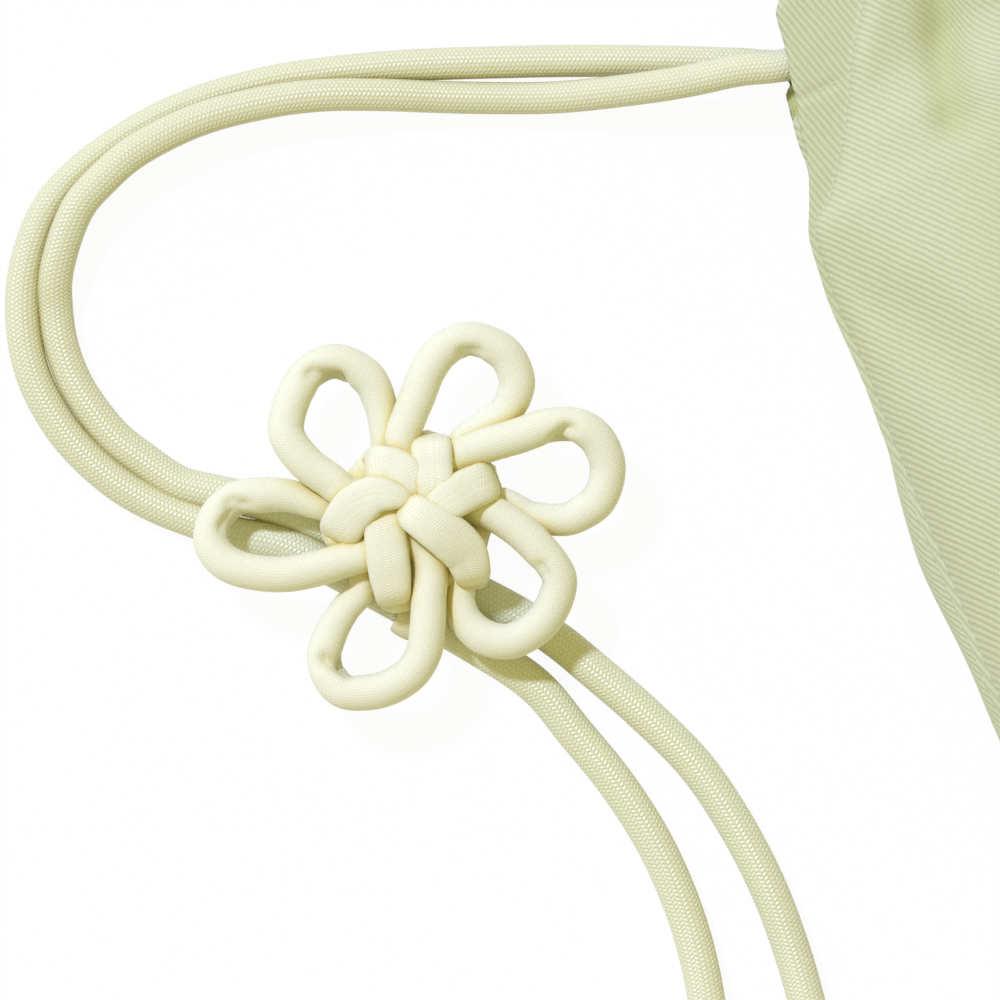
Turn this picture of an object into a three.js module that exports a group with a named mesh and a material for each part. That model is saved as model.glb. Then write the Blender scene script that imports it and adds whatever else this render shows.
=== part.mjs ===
// Drawstring pouch of twill lying on its back, with a flower knot that slides on its doubled drawstring.
// Millimetres. X runs across the mouth, Y from the bottom seam to the mouth, Z up from the surface it lies on.
import * as THREE from "three";

// Bag
const BAG_LENGTH = 216; // top fold of the hem to the bottom seam
const HEM_HALF_WIDTH = 85; // centre line to the side slit, measured at the cord
const HEM_TAPER = 0.3; // how fast the hem narrows above the cord
const BELLY_HALF_WIDTH = 101;
const BELLY_HEIGHT = 56; // crown of the front panel above the surface
const BELLY_DEPTH = 88; // the bag is widest this far below the cord
const SEAM_HEIGHT = 18; // side seams above the surface, at the belly
const CORNER_DROP = 12; // how far the bottom corners are drawn in
const CORNER_LENGTH = 30;
const FLAT_SHARE = 0.6; // share of the half width where the back panel lies flat
const HEM_FULLNESS = 0.5; // how much of the crown's rise already shows under the hem
const FOLD_IN = 16; // the corner's slanting fold crosses the cord this far in from the slit
const FOLD_DEPTH = 28; // and meets the side seam this far below the cord
const CLOTH = 1.4; // thickness of the twill with its turnings
const CLEARANCE = 0.3;

// Hem channel
const HEM_ABOVE = 16; // cord centre to the top fold
const HEM_BELOW = 8; // cord centre to the lower edge of the facing
const LIP = 1.5; // stitched edge of a facing
const LIP_SLOPE = 3.5; // where a facing rises to its stitched edge
const CHANNEL_ROOM = 0.6; // free space above and below the cord in its channel
const MOUTH_RISE = 12; // how far the front hem arches open
const MOUTH_SHARE = 0.5; // share of the half width that arches open
const SLIT_CLOSE = 7; // the side slit closes over this length below the facings

// Drawstring
const CORD_WIDTH = 5.2;
const CORD_THICKNESS = 4.4;
const CORD_SIDES = 10;
const CORD_STEP = 11.5; // length of cord between two of its sections
const EXIT_SHOW = 2; // straight cord outside the slit
const BRIDGE_REACH = 9; // how far the cord's turn stands out of the right side slit
const TAIL_KNOT_RADIUS = 5.6;
const TAIL_KNOT_WAIST = 5; // radius between the knot's two turns
const TAIL_KNOT_LENGTH = 12;
const TAIL_KNOT_SIDES = 14;
const TAIL_END_LENGTH = 9; // cord end that stands out past its knot

// Flower knot
const PETAL_RADIUS = 2.75; // cord of the petals
const BASE_RADIUS = 1.75; // the same cord where the legs squeeze together
const LOBE_RADIUS = 1.85;
const HAIRPIN_RADIUS = 1.25;
const HUB_RADIUS = 3.5; // the turns of the lobes stay this far from the middle
const HUB_TURN = THREE.MathUtils.degToRad(18); // from a lobe to the leg that it becomes
const LAYER_MIDDLE = 4.1; // height of the legs over the passes behind
const LAYER_TOP = 8.4; // height of the lobes over the passes behind
const LEG_DROP = new THREE.Vector2(0.2, 0.85); // the shares of a petal's way between which it sinks
const KNOT_RINGS = 216;
const KNOT_SIDES = 8;
const KNOT_CENTRE = new THREE.Vector2(-63.2, -73);

// Keeper loop on the back of the knot
const KEEPER_BAND = 1.1;
const KEEPER_LENGTH = 6; // along the cords
const KEEPER_ROOM = new THREE.Vector2(15.6, 5.6); // the window that both cords pass
const KEEPER_ANGLE = THREE.MathUtils.degToRad(-26.4);
const KEEPER_CENTRE = new THREE.Vector2(-63.2, -86.7);

// Where the cord leaves the hem, and how the cords lie to the bag
const EXIT = new THREE.Vector2(-HEM_HALF_WIDTH, BAG_LENGTH / 2 - HEM_ABOVE);
const LAY_ANGLE = THREE.MathUtils.degToRad(-25);
const STUB = HEM_HALF_WIDTH * (1 - MOUTH_SHARE); // straight cord inside the flat end of the hem

// Heights of the hem's layers, from the back panel up
const CHANNEL = CORD_THICKNESS + 2 * CHANNEL_ROOM;
const BACK_CORD_Z = CLOTH + CHANNEL / 2;
const BACK_FACING_Z = CLOTH + CHANNEL;
const FRONT_FACING_Z = BACK_FACING_Z + CLOTH + 2 * CLEARANCE;
const FRONT_CORD_Z = FRONT_FACING_Z + CLOTH + CHANNEL / 2;
const FRONT_PANEL_Z = FRONT_FACING_Z + CLOTH + CHANNEL;
const SLIT_HEIGHT = BACK_FACING_Z + CLOTH + CLEARANCE; // where the side seam starts below the slit

// The cord's two free stretches, in a plane turned to the bag: [along, up, height]
const BACK_ROUTE = [
  [-8, 0.2, 3.9], [-17, 0.5, 3.2], [-28, 0.7, 2.6], [-38, 0.7, 2.3], [-48, 0.5, 2.3], [-58, 0.2, 2.3],
  [-68, -0.4, 2.3], [-78, -1.5, 2.3], [-86.5, -2.9, 2.3], [-99.4, -6.7, 2.3], [-109.7, -11.9, 2.3],
  [-119.6, -19.5, 2.3], [-124, -25.4, 2.3], [-126.8, -33.5, 2.3], [-127.5, -39.5, 2.3],
  [-127, -46.4, 2.3], [-125.4, -52.4, 2.3], [-122.4, -58.3, 2.3], [-118.5, -63.5, 2.3],
  [-111.7, -69.6, 2.3], [-105.1, -73.4, 2.3], [-98.4, -76, 2.4], [-92.8, -78, 2.7],
  [-83.7, -80, 3.5], [-73.7, -85, 3.9], [-62.5, -91, 3.9], [-53, -96.2, 3.4], [-42, -103.4, 2.5],
  [-35.3, -111.3, 2.3], [-28.1, -120.2, 2.3], [-21.4, -131, 2.3], [-16.2, -143.7, 2.3],
  [-13.4, -155.8, 3.2], [-12.6, -166, 5.4], [-12.4, -174, 5.6],
];
const FRONT_ROUTE = [
  [-8, -1, 11.8], [-17.3, -2.9, 9.2], [-28, -4.4, 6.6], [-38.7, -5.4, 4.3], [-48, -5.5, 3.2],
  [-58.3, -5.3, 3.6], [-67.3, -5, 5], [-78, -5.1, 6], [-87.6, -6.4, 6.3], [-98.7, -9.4, 6.5],
  [-109, -14.7, 6.5], [-114, -19, 6.2], [-118.2, -23.9, 5.7], [-121.8, -34.5, 4.1],
  [-121.9, -40.8, 2.5], [-121, -46.7, 2.3], [-118.8, -52.7, 2.3], [-115.5, -57.9, 2.3],
  [-111.8, -62.2, 2.3], [-107.1, -65.9, 2.3], [-101.3, -69.7, 2.4], [-96.4, -71, 2.6],
  [-91.2, -72.1, 2.9], [-83.7, -74, 3.5], [-73.7, -78, 3.9], [-64.5, -82.3, 3.9], [-49.2, -89.2, 3.4],
  [-39.2, -95.2, 2.5], [-32, -101, 2.3], [-23.5, -108.4, 2.3], [-15.2, -116.8, 2.3],
  [-8.9, -126, 2.3], [-3.2, -136.9, 2.3], [0.8, -147.5, 2.3], [3.2, -155.8, 3.2],
  [5.2, -164.5, 5.4], [6.4, -172.5, 5.6],
];

// The flower knot's cord, clockwise, about the knot's middle. For each petal it passes behind the leg of that
// petal, rises through its hole, runs to the middle as a lobe, turns under and goes round the petal.
const PETALS = [
  {
    under: [[-9.3, 0.2], [-8, 4]],
    rise: [-7.7, 6.9],
    lobe: [[-5.9, 5.7], [-4.3, 4.1]],
    legs: [
      [-10.2, 2], [-13, 4], [-17, 7.2], [-20, 11.4], [-18.7, 18.3], [-12, 23.5], [-6.8, 21],
      [-4.6, 16.3], [-3.9, 11.6], [-3.4, 8.6],
    ],
  },
  {
    under: [[-0.6, 8.4], [2.7, 9.4]],
    rise: [4.2, 10.2],
    lobe: [[4, 8], [2.3, 5.6]],
    legs: [
      [-1, 10.6], [0.5, 15.5], [3.5, 22.3], [10.3, 27.2], [16, 25], [18.2, 20.5], [16.4, 15.6],
      [12.4, 12.9], [9.4, 10.6],
    ],
  },
  {
    under: [[10.2, 7.4], [11.6, 5]],
    rise: [14, 4.2],
    lobe: [[11.6, 3.2], [6.4, 1.3]],
    legs: [
      [7.6, 6.4], [12, 8.9], [18.5, 11.1], [25.5, 13], [31.2, 11], [33.3, 6], [31.5, 0.2],
      [26.5, -2.6], [20.5, -1.8], [15.3, 0.3],
    ],
  },
  {
    under: [[12, -2.4], [9.6, -6.5]],
    rise: [11.4, -12.2],
    lobe: [[9.8, -10.2], [4.8, -5]],
    legs: [
      [11.6, -0.6], [16.7, -3.3], [20.8, -6.5], [25.2, -12.8], [21.7, -20.5], [17, -23], [12.5, -22.2],
      [9.9, -18.8], [9, -14.6],
    ],
  },
  {
    under: [[6.2, -11.6], [1.6, -15.6]],
    rise: [-2.9, -17],
    lobe: [[-3, -14.6], [-1.1, -6.5]],
    legs: [
      [3.9, -9.8], [3.9, -16.2], [2.8, -24.4], [-2.7, -30.5], [-10.7, -31.2], [-13.8, -25.3],
      [-12.7, -21.3], [-10.3, -17.4],
    ],
  },
  {
    under: [[-8.4, -12.6], [-9, -8.6], [-10.8, -5.8]],
    rise: [-12.6, -5],
    lobe: [[-10.4, -4.3], [-6, -2.3]],
    legs: [
      [-6.8, -8.2], [-10.5, -9.8], [-15.5, -11.4], [-24.3, -11.9], [-31.3, -9], [-32.7, -6.2],
      [-28.8, 0.5], [-24.3, 1.3], [-19.7, 1.1], [-14.6, 0],
    ],
  },
];
const KNOT_BASE_Z = KEEPER_ROOM.y + 2 * KEEPER_BAND + CLEARANCE + BASE_RADIUS;

const MATERIALS = {
  twill: new THREE.MeshStandardMaterial({ color: 0xd9ddb4, roughness: 0.9, metalness: 0 }),
  braid: new THREE.MeshStandardMaterial({ color: 0xe6e2b4, roughness: 0.6, metalness: 0 }),
  knit: new THREE.MeshStandardMaterial({ color: 0xf1f0d8, roughness: 0.85, metalness: 0 }),
};

const { clamp, lerp, smoothstep } = THREE.MathUtils;
const group = new THREE.Group();
const laid = new THREE.Group();
laid.position.set(EXIT.x, EXIT.y, 0);
laid.rotation.z = LAY_ANGLE;
group.add(laid);

function addMesh(parent, name, geometry, material) {
  const mesh = new THREE.Mesh(geometry, material);
  mesh.name = name;
  parent.add(mesh);
  return mesh;
}

// A closed surface from rings of equal, even counts; the rings close on each other or get caps at both ends.
function ringsGeometry(rings, closed) {
  const count = rings[0].length;
  const positions = rings.flat().flatMap((p) => [p.x, p.y, p.z]);
  const index = [];
  const last = closed ? rings.length : rings.length - 1;
  for (let i = 0; i < last; i += 1) {
    const here = i * count;
    const next = ((i + 1) % rings.length) * count;
    for (let j = 0; j < count; j += 1) {
      const k = (j + 1) % count;
      index.push(here + j, here + k, next + k, here + j, next + k, next + j);
    }
  }
  if (!closed) {
    const far = (rings.length - 1) * count;
    for (let a = 0; a < count / 2 - 1; a += 1) {
      const b = a + 1;
      const c = count - 1 - b;
      const d = count - 1 - a;
      index.push(a, c, b, a, d, c);
      index.push(far + a, far + b, far + c, far + a, far + c, far + d);
    }
  }
  const geometry = new THREE.BufferGeometry();
  geometry.setAttribute("position", new THREE.Float32BufferAttribute(positions, 3));
  geometry.setIndex(index);
  return geometry;
}

// Half width of the bag, and the height of its side seam, at a depth below the cord.
const BOTTOM_DEPTH = BAG_LENGTH - HEM_ABOVE;
function halfWidth(depth) {
  if (depth < 0) return HEM_HALF_WIDTH + HEM_TAPER * depth;
  const flare = Math.sin((Math.PI / 2) * clamp(depth / BELLY_DEPTH, 0, 1));
  const corner = clamp((depth - BOTTOM_DEPTH + CORNER_LENGTH) / CORNER_LENGTH, 0, 1) ** 2;
  return lerp(HEM_HALF_WIDTH, BELLY_HALF_WIDTH, flare) - CORNER_DROP * corner;
}
function seamHeight(depth) {
  const swell = Math.sin(Math.PI * clamp(depth / BOTTOM_DEPTH, 0, 1));
  return lerp(SLIT_HEIGHT, SEAM_HEIGHT, swell);
}
function crownHeight(depth) {
  const swell = Math.cos((Math.PI / 2) * clamp((depth - BELLY_DEPTH) / (BOTTOM_DEPTH - BELLY_DEPTH), -1, 1));
  const rising = depth < BELLY_DEPTH ? lerp(1, swell, HEM_FULLNESS) : swell;
  return CLOTH + (BELLY_HEIGHT - SEAM_HEIGHT - CLOTH) * rising;
}
function mouthArch(share) {
  if (Math.abs(share) >= MOUTH_SHARE) return 0;
  return MOUTH_RISE * Math.cos((Math.PI / 2) * (share / MOUTH_SHARE)) ** 2;
}
const slitShare = (depth) => smoothstep(depth, HEM_BELOW, HEM_BELOW + SLIT_CLOSE);

// Columns of the cloth grids, as angles round the bag from its right seam to its left one.
const COLUMNS = 28;
const columnAngles = Array.from({ length: COLUMNS + 1 }, (_, i) => (Math.PI * i) / COLUMNS);
const BODY_ROWS = 17;
const ROW_SPREAD = 1.4; // over 1, rows lie closer together under the hem
const panelDepths = [-HEM_ABOVE, -HEM_ABOVE / 2, 0, HEM_BELOW];
for (let i = 1; i <= BODY_ROWS; i += 1) {
  panelDepths.push(HEM_BELOW + (BOTTOM_DEPTH - HEM_BELOW) * (i / BODY_ROWS) ** ROW_SPREAD);
}

// A sheet of cloth as a closed solid: each row is a ring of its outer points and, back again, its inner ones.
function clothGeometry(depths, outer, inner) {
  const rings = depths.map((depth) => [
    ...columnAngles.map((angle) => outer(angle, depth)),
    ...columnAngles.map((angle) => inner(angle, depth)).reverse(),
  ]);
  return ringsGeometry(rings, false);
}
const sheetPoint = (x, depth, z) => new THREE.Vector3(x, EXIT.y - depth, z);

// The front swells inside a slanting fold at each corner; outside it, a flat strip runs along the slit.
function frontPoint(angle, depth, inset) {
  const share = Math.cos(angle);
  const hemZ = FRONT_PANEL_Z + CLOTH - inset + mouthArch(share);
  const fold = FOLD_IN * (1 - clamp(depth / FOLD_DEPTH, 0, 1));
  const inside = (1 - Math.abs(share)) * halfWidth(depth) - fold;
  const swell = clamp(inside / (halfWidth(depth) - fold), 0, 1);
  const rise = Math.sqrt(1 - (1 - swell) ** 2);
  const strip = fold / FOLD_IN;
  const thickness = inset * Math.max(strip, Math.sin(angle));
  const bodyZ = seamHeight(depth) + CLOTH * strip + crownHeight(depth) * rise - thickness;
  const width = halfWidth(depth) - inset * slitShare(depth);
  return sheetPoint(width * share, depth, lerp(hemZ, bodyZ, slitShare(depth)));
}
function backPoint(angle, depth, inset) {
  const share = Math.cos(angle);
  const side = Math.max(0, Math.abs(share) - FLAT_SHARE) / (1 - FLAT_SHARE);
  const end = Math.max(0, depth - BOTTOM_DEPTH + CORNER_LENGTH) / CORNER_LENGTH;
  const rise = 1 - Math.sqrt(Math.max(0, 1 - side ** 2 - end ** 2));
  const rim = seamHeight(depth) - CLEARANCE - inset;
  const width = halfWidth(depth) - inset * slitShare(depth);
  return sheetPoint(width * share, depth - inset * end, inset + rim * rise * slitShare(depth));
}

// A facing is flat under the cord and rises to its panel along both stitched edges.
const facingRows = [
  [-HEM_ABOVE, 1],
  [-HEM_ABOVE + LIP, 1],
  [-HEM_ABOVE + LIP + LIP_SLOPE, 0],
  [HEM_BELOW - LIP - LIP_SLOPE, 0],
  [HEM_BELOW - LIP, 1],
  [HEM_BELOW, 1],
];
const lipShare = new Map(facingRows);
const facingDepths = facingRows.map(([depth]) => depth);
const lipHeight = CHANNEL - CLEARANCE;
function frontFacingPoint(angle, depth, drop) {
  const share = Math.cos(angle);
  const z = FRONT_FACING_Z + CLOTH - drop + lipHeight * lipShare.get(depth) + mouthArch(share);
  return sheetPoint(halfWidth(depth) * share, depth, z);
}
function backFacingPoint(angle, depth, drop) {
  const z = BACK_FACING_Z + CLOTH - drop - lipHeight * lipShare.get(depth);
  return sheetPoint(halfWidth(depth) * Math.cos(angle), depth, z);
}

function addBag() {
  addMesh(
    group,
    "front_panel",
    clothGeometry(panelDepths, (a, d) => frontPoint(a, d, 0), (a, d) => frontPoint(a, d, CLOTH)),
    MATERIALS.twill,
  );
  addMesh(
    group,
    "back_panel",
    clothGeometry(panelDepths, (a, d) => backPoint(a, d, CLOTH), (a, d) => backPoint(a, d, 0)),
    MATERIALS.twill,
  );
  addMesh(
    group,
    "front_hem_facing",
    clothGeometry(facingDepths, (a, d) => frontFacingPoint(a, d, 0), (a, d) => frontFacingPoint(a, d, CLOTH)),
    MATERIALS.twill,
  );
  addMesh(
    group,
    "back_hem_facing",
    clothGeometry(facingDepths, (a, d) => backFacingPoint(a, d, 0), (a, d) => backFacingPoint(a, d, CLOTH)),
    MATERIALS.twill,
  );
}

// The cord's section, thickness first: a tube that starts level keeps its thickness upright.
function cordSection() {
  const shape = new THREE.Shape();
  shape.absellipse(0, 0, CORD_THICKNESS / 2, CORD_WIDTH / 2, 0, 2 * Math.PI, false, 0);
  return new THREE.Shape(shape.getSpacedPoints(CORD_SIDES).slice(0, CORD_SIDES));
}
function cordTube(points) {
  const path = new THREE.CatmullRomCurve3(points, false, "centripetal");
  const steps = Math.round(path.getLength() / CORD_STEP);
  return new THREE.ExtrudeGeometry(cordSection(), { steps, bevelEnabled: false, extrudePath: path });
}

// The cord held by the hem: along the front channel, round through the right side slit, back along the other.
function addHemRun() {
  const inner = STUB - HEM_HALF_WIDTH + CLEARANCE;
  const arch = columnAngles.map(Math.cos).filter((share) => Math.abs(share) < MOUTH_SHARE).reverse();
  const front = arch.map((share) => sheetPoint(HEM_HALF_WIDTH * share, 0, FRONT_CORD_Z + mouthArch(share)));
  const middleZ = (FRONT_CORD_Z + BACK_CORD_Z) / 2;
  const turn = (FRONT_CORD_Z - BACK_CORD_Z) / 2;
  const edge = HEM_HALF_WIDTH + BRIDGE_REACH - turn - CORD_THICKNESS / 2;
  const bend = [90, 60, 30, 0, -30, -60, -90].map((degrees) => {
    const a = THREE.MathUtils.degToRad(degrees);
    return sheetPoint(edge + turn * Math.cos(a), 0, middleZ + turn * Math.sin(a));
  });
  const straight = [inner + STUB / 2, 0, -inner - STUB / 2, -inner];
  const points = [
    sheetPoint(inner, 0, FRONT_CORD_Z),
    ...front,
    sheetPoint(-inner, 0, FRONT_CORD_Z),
    sheetPoint(HEM_HALF_WIDTH - STUB / 2, 0, FRONT_CORD_Z),
    ...bend,
    sheetPoint(HEM_HALF_WIDTH - STUB / 2, 0, BACK_CORD_Z),
    ...straight.reverse().map((x) => sheetPoint(x, 0, BACK_CORD_Z)),
    sheetPoint(inner, 0, BACK_CORD_Z),
  ];
  const rings = points.map((point, i) => {
    const before = points[Math.max(i - 1, 0)];
    const after = points[Math.min(i + 1, points.length - 1)];
    const along = after.clone().sub(before).normalize();
    const across = new THREE.Vector3(0, 1, 0);
    const upright = new THREE.Vector3().crossVectors(across, along);
    return Array.from({ length: CORD_SIDES }, (_, j) => {
      const a = (2 * Math.PI * j) / CORD_SIDES;
      return point
        .clone()
        .addScaledVector(across, (CORD_WIDTH / 2) * Math.cos(a))
        .addScaledVector(upright, (-CORD_THICKNESS / 2) * Math.sin(a));
    });
  });
  addMesh(group, "drawstring_hem_run", ringsGeometry(rings, false), MATERIALS.braid);
}

// A free stretch starts with a straight stub inside the hem, level with its channel.
function addStrand(name, route, channelZ) {
  const inward = new THREE.Vector2(Math.cos(LAY_ANGLE), -Math.sin(LAY_ANGLE));
  const stub = [STUB, (2 * STUB) / 3, STUB / 3, -EXIT_SHOW].map(
    (reach) => new THREE.Vector3(inward.x * reach, inward.y * reach, channelZ),
  );
  const points = [...stub, ...route.map((p) => new THREE.Vector3(...p))];
  addMesh(laid, name, cordTube(points), MATERIALS.braid);
}

// An overhand knot drawn tight near the cord's end: two bulging turns, a waist, and the end itself.
function addTailKnot(name, route) {
  const last = new THREE.Vector3(...route[route.length - 1]);
  const before = new THREE.Vector3(...route[route.length - 2]);
  const cord = CORD_THICKNESS / 2;
  const turn = TAIL_KNOT_LENGTH / 4;
  const end = TAIL_KNOT_LENGTH + TAIL_END_LENGTH;
  const profile = new THREE.Path();
  profile.moveTo(0, 0);
  profile.lineTo(cord, 0);
  profile.quadraticCurveTo(TAIL_KNOT_RADIUS, 0, TAIL_KNOT_RADIUS, turn);
  profile.quadraticCurveTo(TAIL_KNOT_RADIUS, 2 * turn, TAIL_KNOT_WAIST, 2 * turn);
  profile.quadraticCurveTo(TAIL_KNOT_RADIUS, 2 * turn, TAIL_KNOT_RADIUS, 3 * turn);
  profile.quadraticCurveTo(TAIL_KNOT_RADIUS, TAIL_KNOT_LENGTH, cord, TAIL_KNOT_LENGTH);
  profile.lineTo(cord, end);
  profile.lineTo(0, end);
  const lathe = new THREE.LatheGeometry(profile.getPoints(4), TAIL_KNOT_SIDES);
  const knot = addMesh(laid, name, lathe, MATERIALS.braid);
  const along = last.clone().sub(before).setZ(0).normalize();
  knot.position.copy(last).addScaledVector(along, CLEARANCE);
  knot.position.z = Math.max(last.z, TAIL_KNOT_RADIUS);
  knot.quaternion.setFromUnitVectors(new THREE.Vector3(0, 1, 0), along);
}

// Control points of the flower knot's cord, each with the radius that the cord has there.
function knotControls() {
  const controls = [];
  const add = ([x, y], z, radius) => controls.push({ point: new THREE.Vector3(x, y, z), radius });
  for (const petal of PETALS) {
    petal.under.forEach((p) => add(p, 0, BASE_RADIUS));
    add(petal.rise, LAYER_TOP / 2, LOBE_RADIUS);
    petal.lobe.forEach((p) => add(p, LAYER_TOP, LOBE_RADIUS));
    const inner = petal.lobe[petal.lobe.length - 1];
    const angle = Math.atan2(inner[1], inner[0]);
    const reach = Math.hypot(...inner);
    const polar = (r, a) => [r * Math.cos(a), r * Math.sin(a)];
    controls[controls.length - 1].radius = (LOBE_RADIUS + HAIRPIN_RADIUS) / 2;
    add(polar(HUB_RADIUS, angle + HUB_TURN / 3), (LAYER_TOP + LAYER_MIDDLE) / 2, HAIRPIN_RADIUS);
    add(polar(reach, angle + HUB_TURN), LAYER_MIDDLE, HAIRPIN_RADIUS);
    const ends = petal.legs.length - 1;
    petal.legs.forEach((p, i) => {
      const share = smoothstep(i / ends, LEG_DROP.x, LEG_DROP.y);
      const fromEnd = Math.min(i, ends - i);
      const radius = lerp(BASE_RADIUS, PETAL_RADIUS, clamp(fromEnd / 2, 0, 1));
      add(p, lerp(LAYER_MIDDLE, 0, share), radius);
    });
  }
  return controls;
}

function addFlowerKnot() {
  const controls = knotControls();
  const path = new THREE.CatmullRomCurve3(controls.map((c) => c.point), true, "centripetal");
  path.arcLengthDivisions = controls.length * 20;
  const frames = path.computeFrenetFrames(KNOT_RINGS, true);
  const radiusAt = (u) => {
    const place = path.getUtoTmapping(u) * controls.length;
    const from = Math.floor(place) % controls.length;
    const to = (from + 1) % controls.length;
    return lerp(controls[from].radius, controls[to].radius, place - Math.floor(place));
  };
  const centres = [];
  const rings = [];
  for (let i = 0; i < KNOT_RINGS; i += 1) {
    const centre = path.getPointAt(i / KNOT_RINGS);
    const radius = radiusAt(i / KNOT_RINGS);
    centres.push({ centre, radius });
    rings.push(
      Array.from({ length: KNOT_SIDES }, (_, j) => {
        const a = (2 * Math.PI * j) / KNOT_SIDES;
        return centre
          .clone()
          .addScaledVector(frames.normals[i], radius * Math.cos(a))
          .addScaledVector(frames.binormals[i], radius * Math.sin(a));
      }),
    );
  }
  const knot = addMesh(laid, "flower_knot", ringsGeometry(rings, true), MATERIALS.knit);
  knot.position.set(KNOT_CENTRE.x, KNOT_CENTRE.y, KNOT_BASE_Z);
  console.log("flower knot: least gap to itself " + leastGap(centres, path.getLength()).toFixed(2) + " mm");
}

// Least gap between stretches of a closed tube that are far apart along it.
const FAR_ALONG = 1.6; // in sums of the two radii
function leastGap(centres, length) {
  const step = length / centres.length;
  let least = Infinity;
  centres.forEach((a, i) => {
    centres.slice(i + 1).forEach((b, j) => {
      const apart = Math.min(j + 1, centres.length - j - 1) * step;
      if (apart < FAR_ALONG * (a.radius + b.radius)) return;
      least = Math.min(least, a.centre.distanceTo(b.centre) - a.radius - b.radius);
    });
  });
  return least;
}

// A flat band round both cords, sewn to the knot's back.
function addKeeper() {
  const round = KEEPER_ROOM.y / 2;
  const stadium = (shape, grow) => {
    const half = KEEPER_ROOM.x / 2 - round;
    const middle = KEEPER_BAND + round;
    shape.moveTo(-half, middle - round - grow);
    shape.lineTo(half, middle - round - grow);
    shape.absarc(half, middle, round + grow, -Math.PI / 2, Math.PI / 2, false);
    shape.lineTo(-half, middle + round + grow);
    shape.absarc(-half, middle, round + grow, Math.PI / 2, (3 * Math.PI) / 2, false);
    return shape;
  };
  const outline = stadium(new THREE.Shape(), KEEPER_BAND);
  outline.holes.push(stadium(new THREE.Path(), 0));
  const band = new THREE.ExtrudeGeometry(outline, {
    depth: KEEPER_LENGTH,
    bevelEnabled: false,
    curveSegments: 6,
    steps: 1,
  });
  band.translate(0, 0, -KEEPER_LENGTH / 2);
  band.rotateX(Math.PI / 2);
  const keeper = addMesh(laid, "knot_keeper_loop", band, MATERIALS.knit);
  keeper.position.set(KEEPER_CENTRE.x, KEEPER_CENTRE.y, 0);
  keeper.rotation.z = KEEPER_ANGLE + Math.PI / 2;
}

addBag();
addHemRun();
addStrand("front_strand", FRONT_ROUTE, FRONT_CORD_Z);
addStrand("back_strand", BACK_ROUTE, BACK_CORD_Z);
addTailKnot("front_tail_knot", FRONT_ROUTE);
addTailKnot("back_tail_knot", BACK_ROUTE);
addFlowerKnot();
addKeeper();

export default group;
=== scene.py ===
"""Drawstring pouch of pale green twill with a flower knot on its doubled cord, dressed over its frame."""

from __future__ import annotations

import logging
import math
from bisect import bisect_right
from dataclasses import dataclass, field
from enum import Enum
from typing import Callable, NamedTuple, Sequence

import bpy
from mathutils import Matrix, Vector
from mathutils.bvhtree import BVHTree

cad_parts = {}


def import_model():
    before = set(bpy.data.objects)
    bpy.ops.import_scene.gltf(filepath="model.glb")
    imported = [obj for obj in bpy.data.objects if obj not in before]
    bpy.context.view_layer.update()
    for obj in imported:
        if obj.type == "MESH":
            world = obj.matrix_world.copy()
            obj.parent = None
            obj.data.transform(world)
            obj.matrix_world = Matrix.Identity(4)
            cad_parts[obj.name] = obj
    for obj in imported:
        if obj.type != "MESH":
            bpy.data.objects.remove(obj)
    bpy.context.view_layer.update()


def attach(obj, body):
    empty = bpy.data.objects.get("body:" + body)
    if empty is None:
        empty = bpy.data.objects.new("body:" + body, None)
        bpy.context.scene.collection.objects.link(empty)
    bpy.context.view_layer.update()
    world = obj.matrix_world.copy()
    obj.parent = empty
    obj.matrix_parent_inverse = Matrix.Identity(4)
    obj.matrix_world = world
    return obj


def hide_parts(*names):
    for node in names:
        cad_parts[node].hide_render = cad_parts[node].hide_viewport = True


LOG = logging.getLogger("pouch")
MM = 0.001
PLAN_ANGLE = math.radians(-25)
CORD_EXIT = Vector((-0.085, 0.092, 0.0))
UP = Vector((0, 0, 1))
# Least distance between two stations of a curve, in metres.
LEAST_STEP = 1e-6
# Share of an open tube's first and last step at which its extra ring stands.
END_RING = 0.03
# Rays that measure how far a point is closed in, for its painted shade, and how far above the surface they
# start.
PAINTED_SHADE_RAYS = 16
PAINTED_SHADE_LIFT = 0.1 * MM

Point2 = tuple[float, float]
Point3 = tuple[float, float, float]
Table = tuple[Point2, ...]
Faces = list[tuple[int, ...]]


class Body(Enum):
    """The bodies of the frame that pieces ride on."""

    BAG = "bag"
    DRAWSTRING = "drawstring"
    FLOWER = "flower"


class Slot(Enum):
    """The record's material slots."""

    TWILL = "twill"
    BRAID = "braid"
    KNIT = "knit"


class Side(Enum):
    """The two layers of the bag and the strand that each one lets out."""

    FRONT = "front"
    BACK = "back"


def laid(x: float, y: float, z: float) -> Vector:
    """Place of a point of the cords' plane, which is turned to the bag.

    Args:
        x: Millimetres along the plane's first axis, from where the cord leaves the hem.
        y: Millimetres along its second axis.
        z: Millimetres above the floor.

    Returns:
        The point in the frame, in metres.
    """
    cos, sin = math.cos(PLAN_ANGLE), math.sin(PLAN_ANGLE)
    return CORD_EXIT + Vector((x * cos - y * sin, x * sin + y * cos, z)) * MM


def turned(direction: Vector) -> Vector:
    """A direction of the cords' plane in the frame."""
    cos, sin = math.cos(PLAN_ANGLE), math.sin(PLAN_ANGLE)
    return Vector((direction.x * cos - direction.y * sin, direction.x * sin + direction.y * cos, direction.z))


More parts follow.
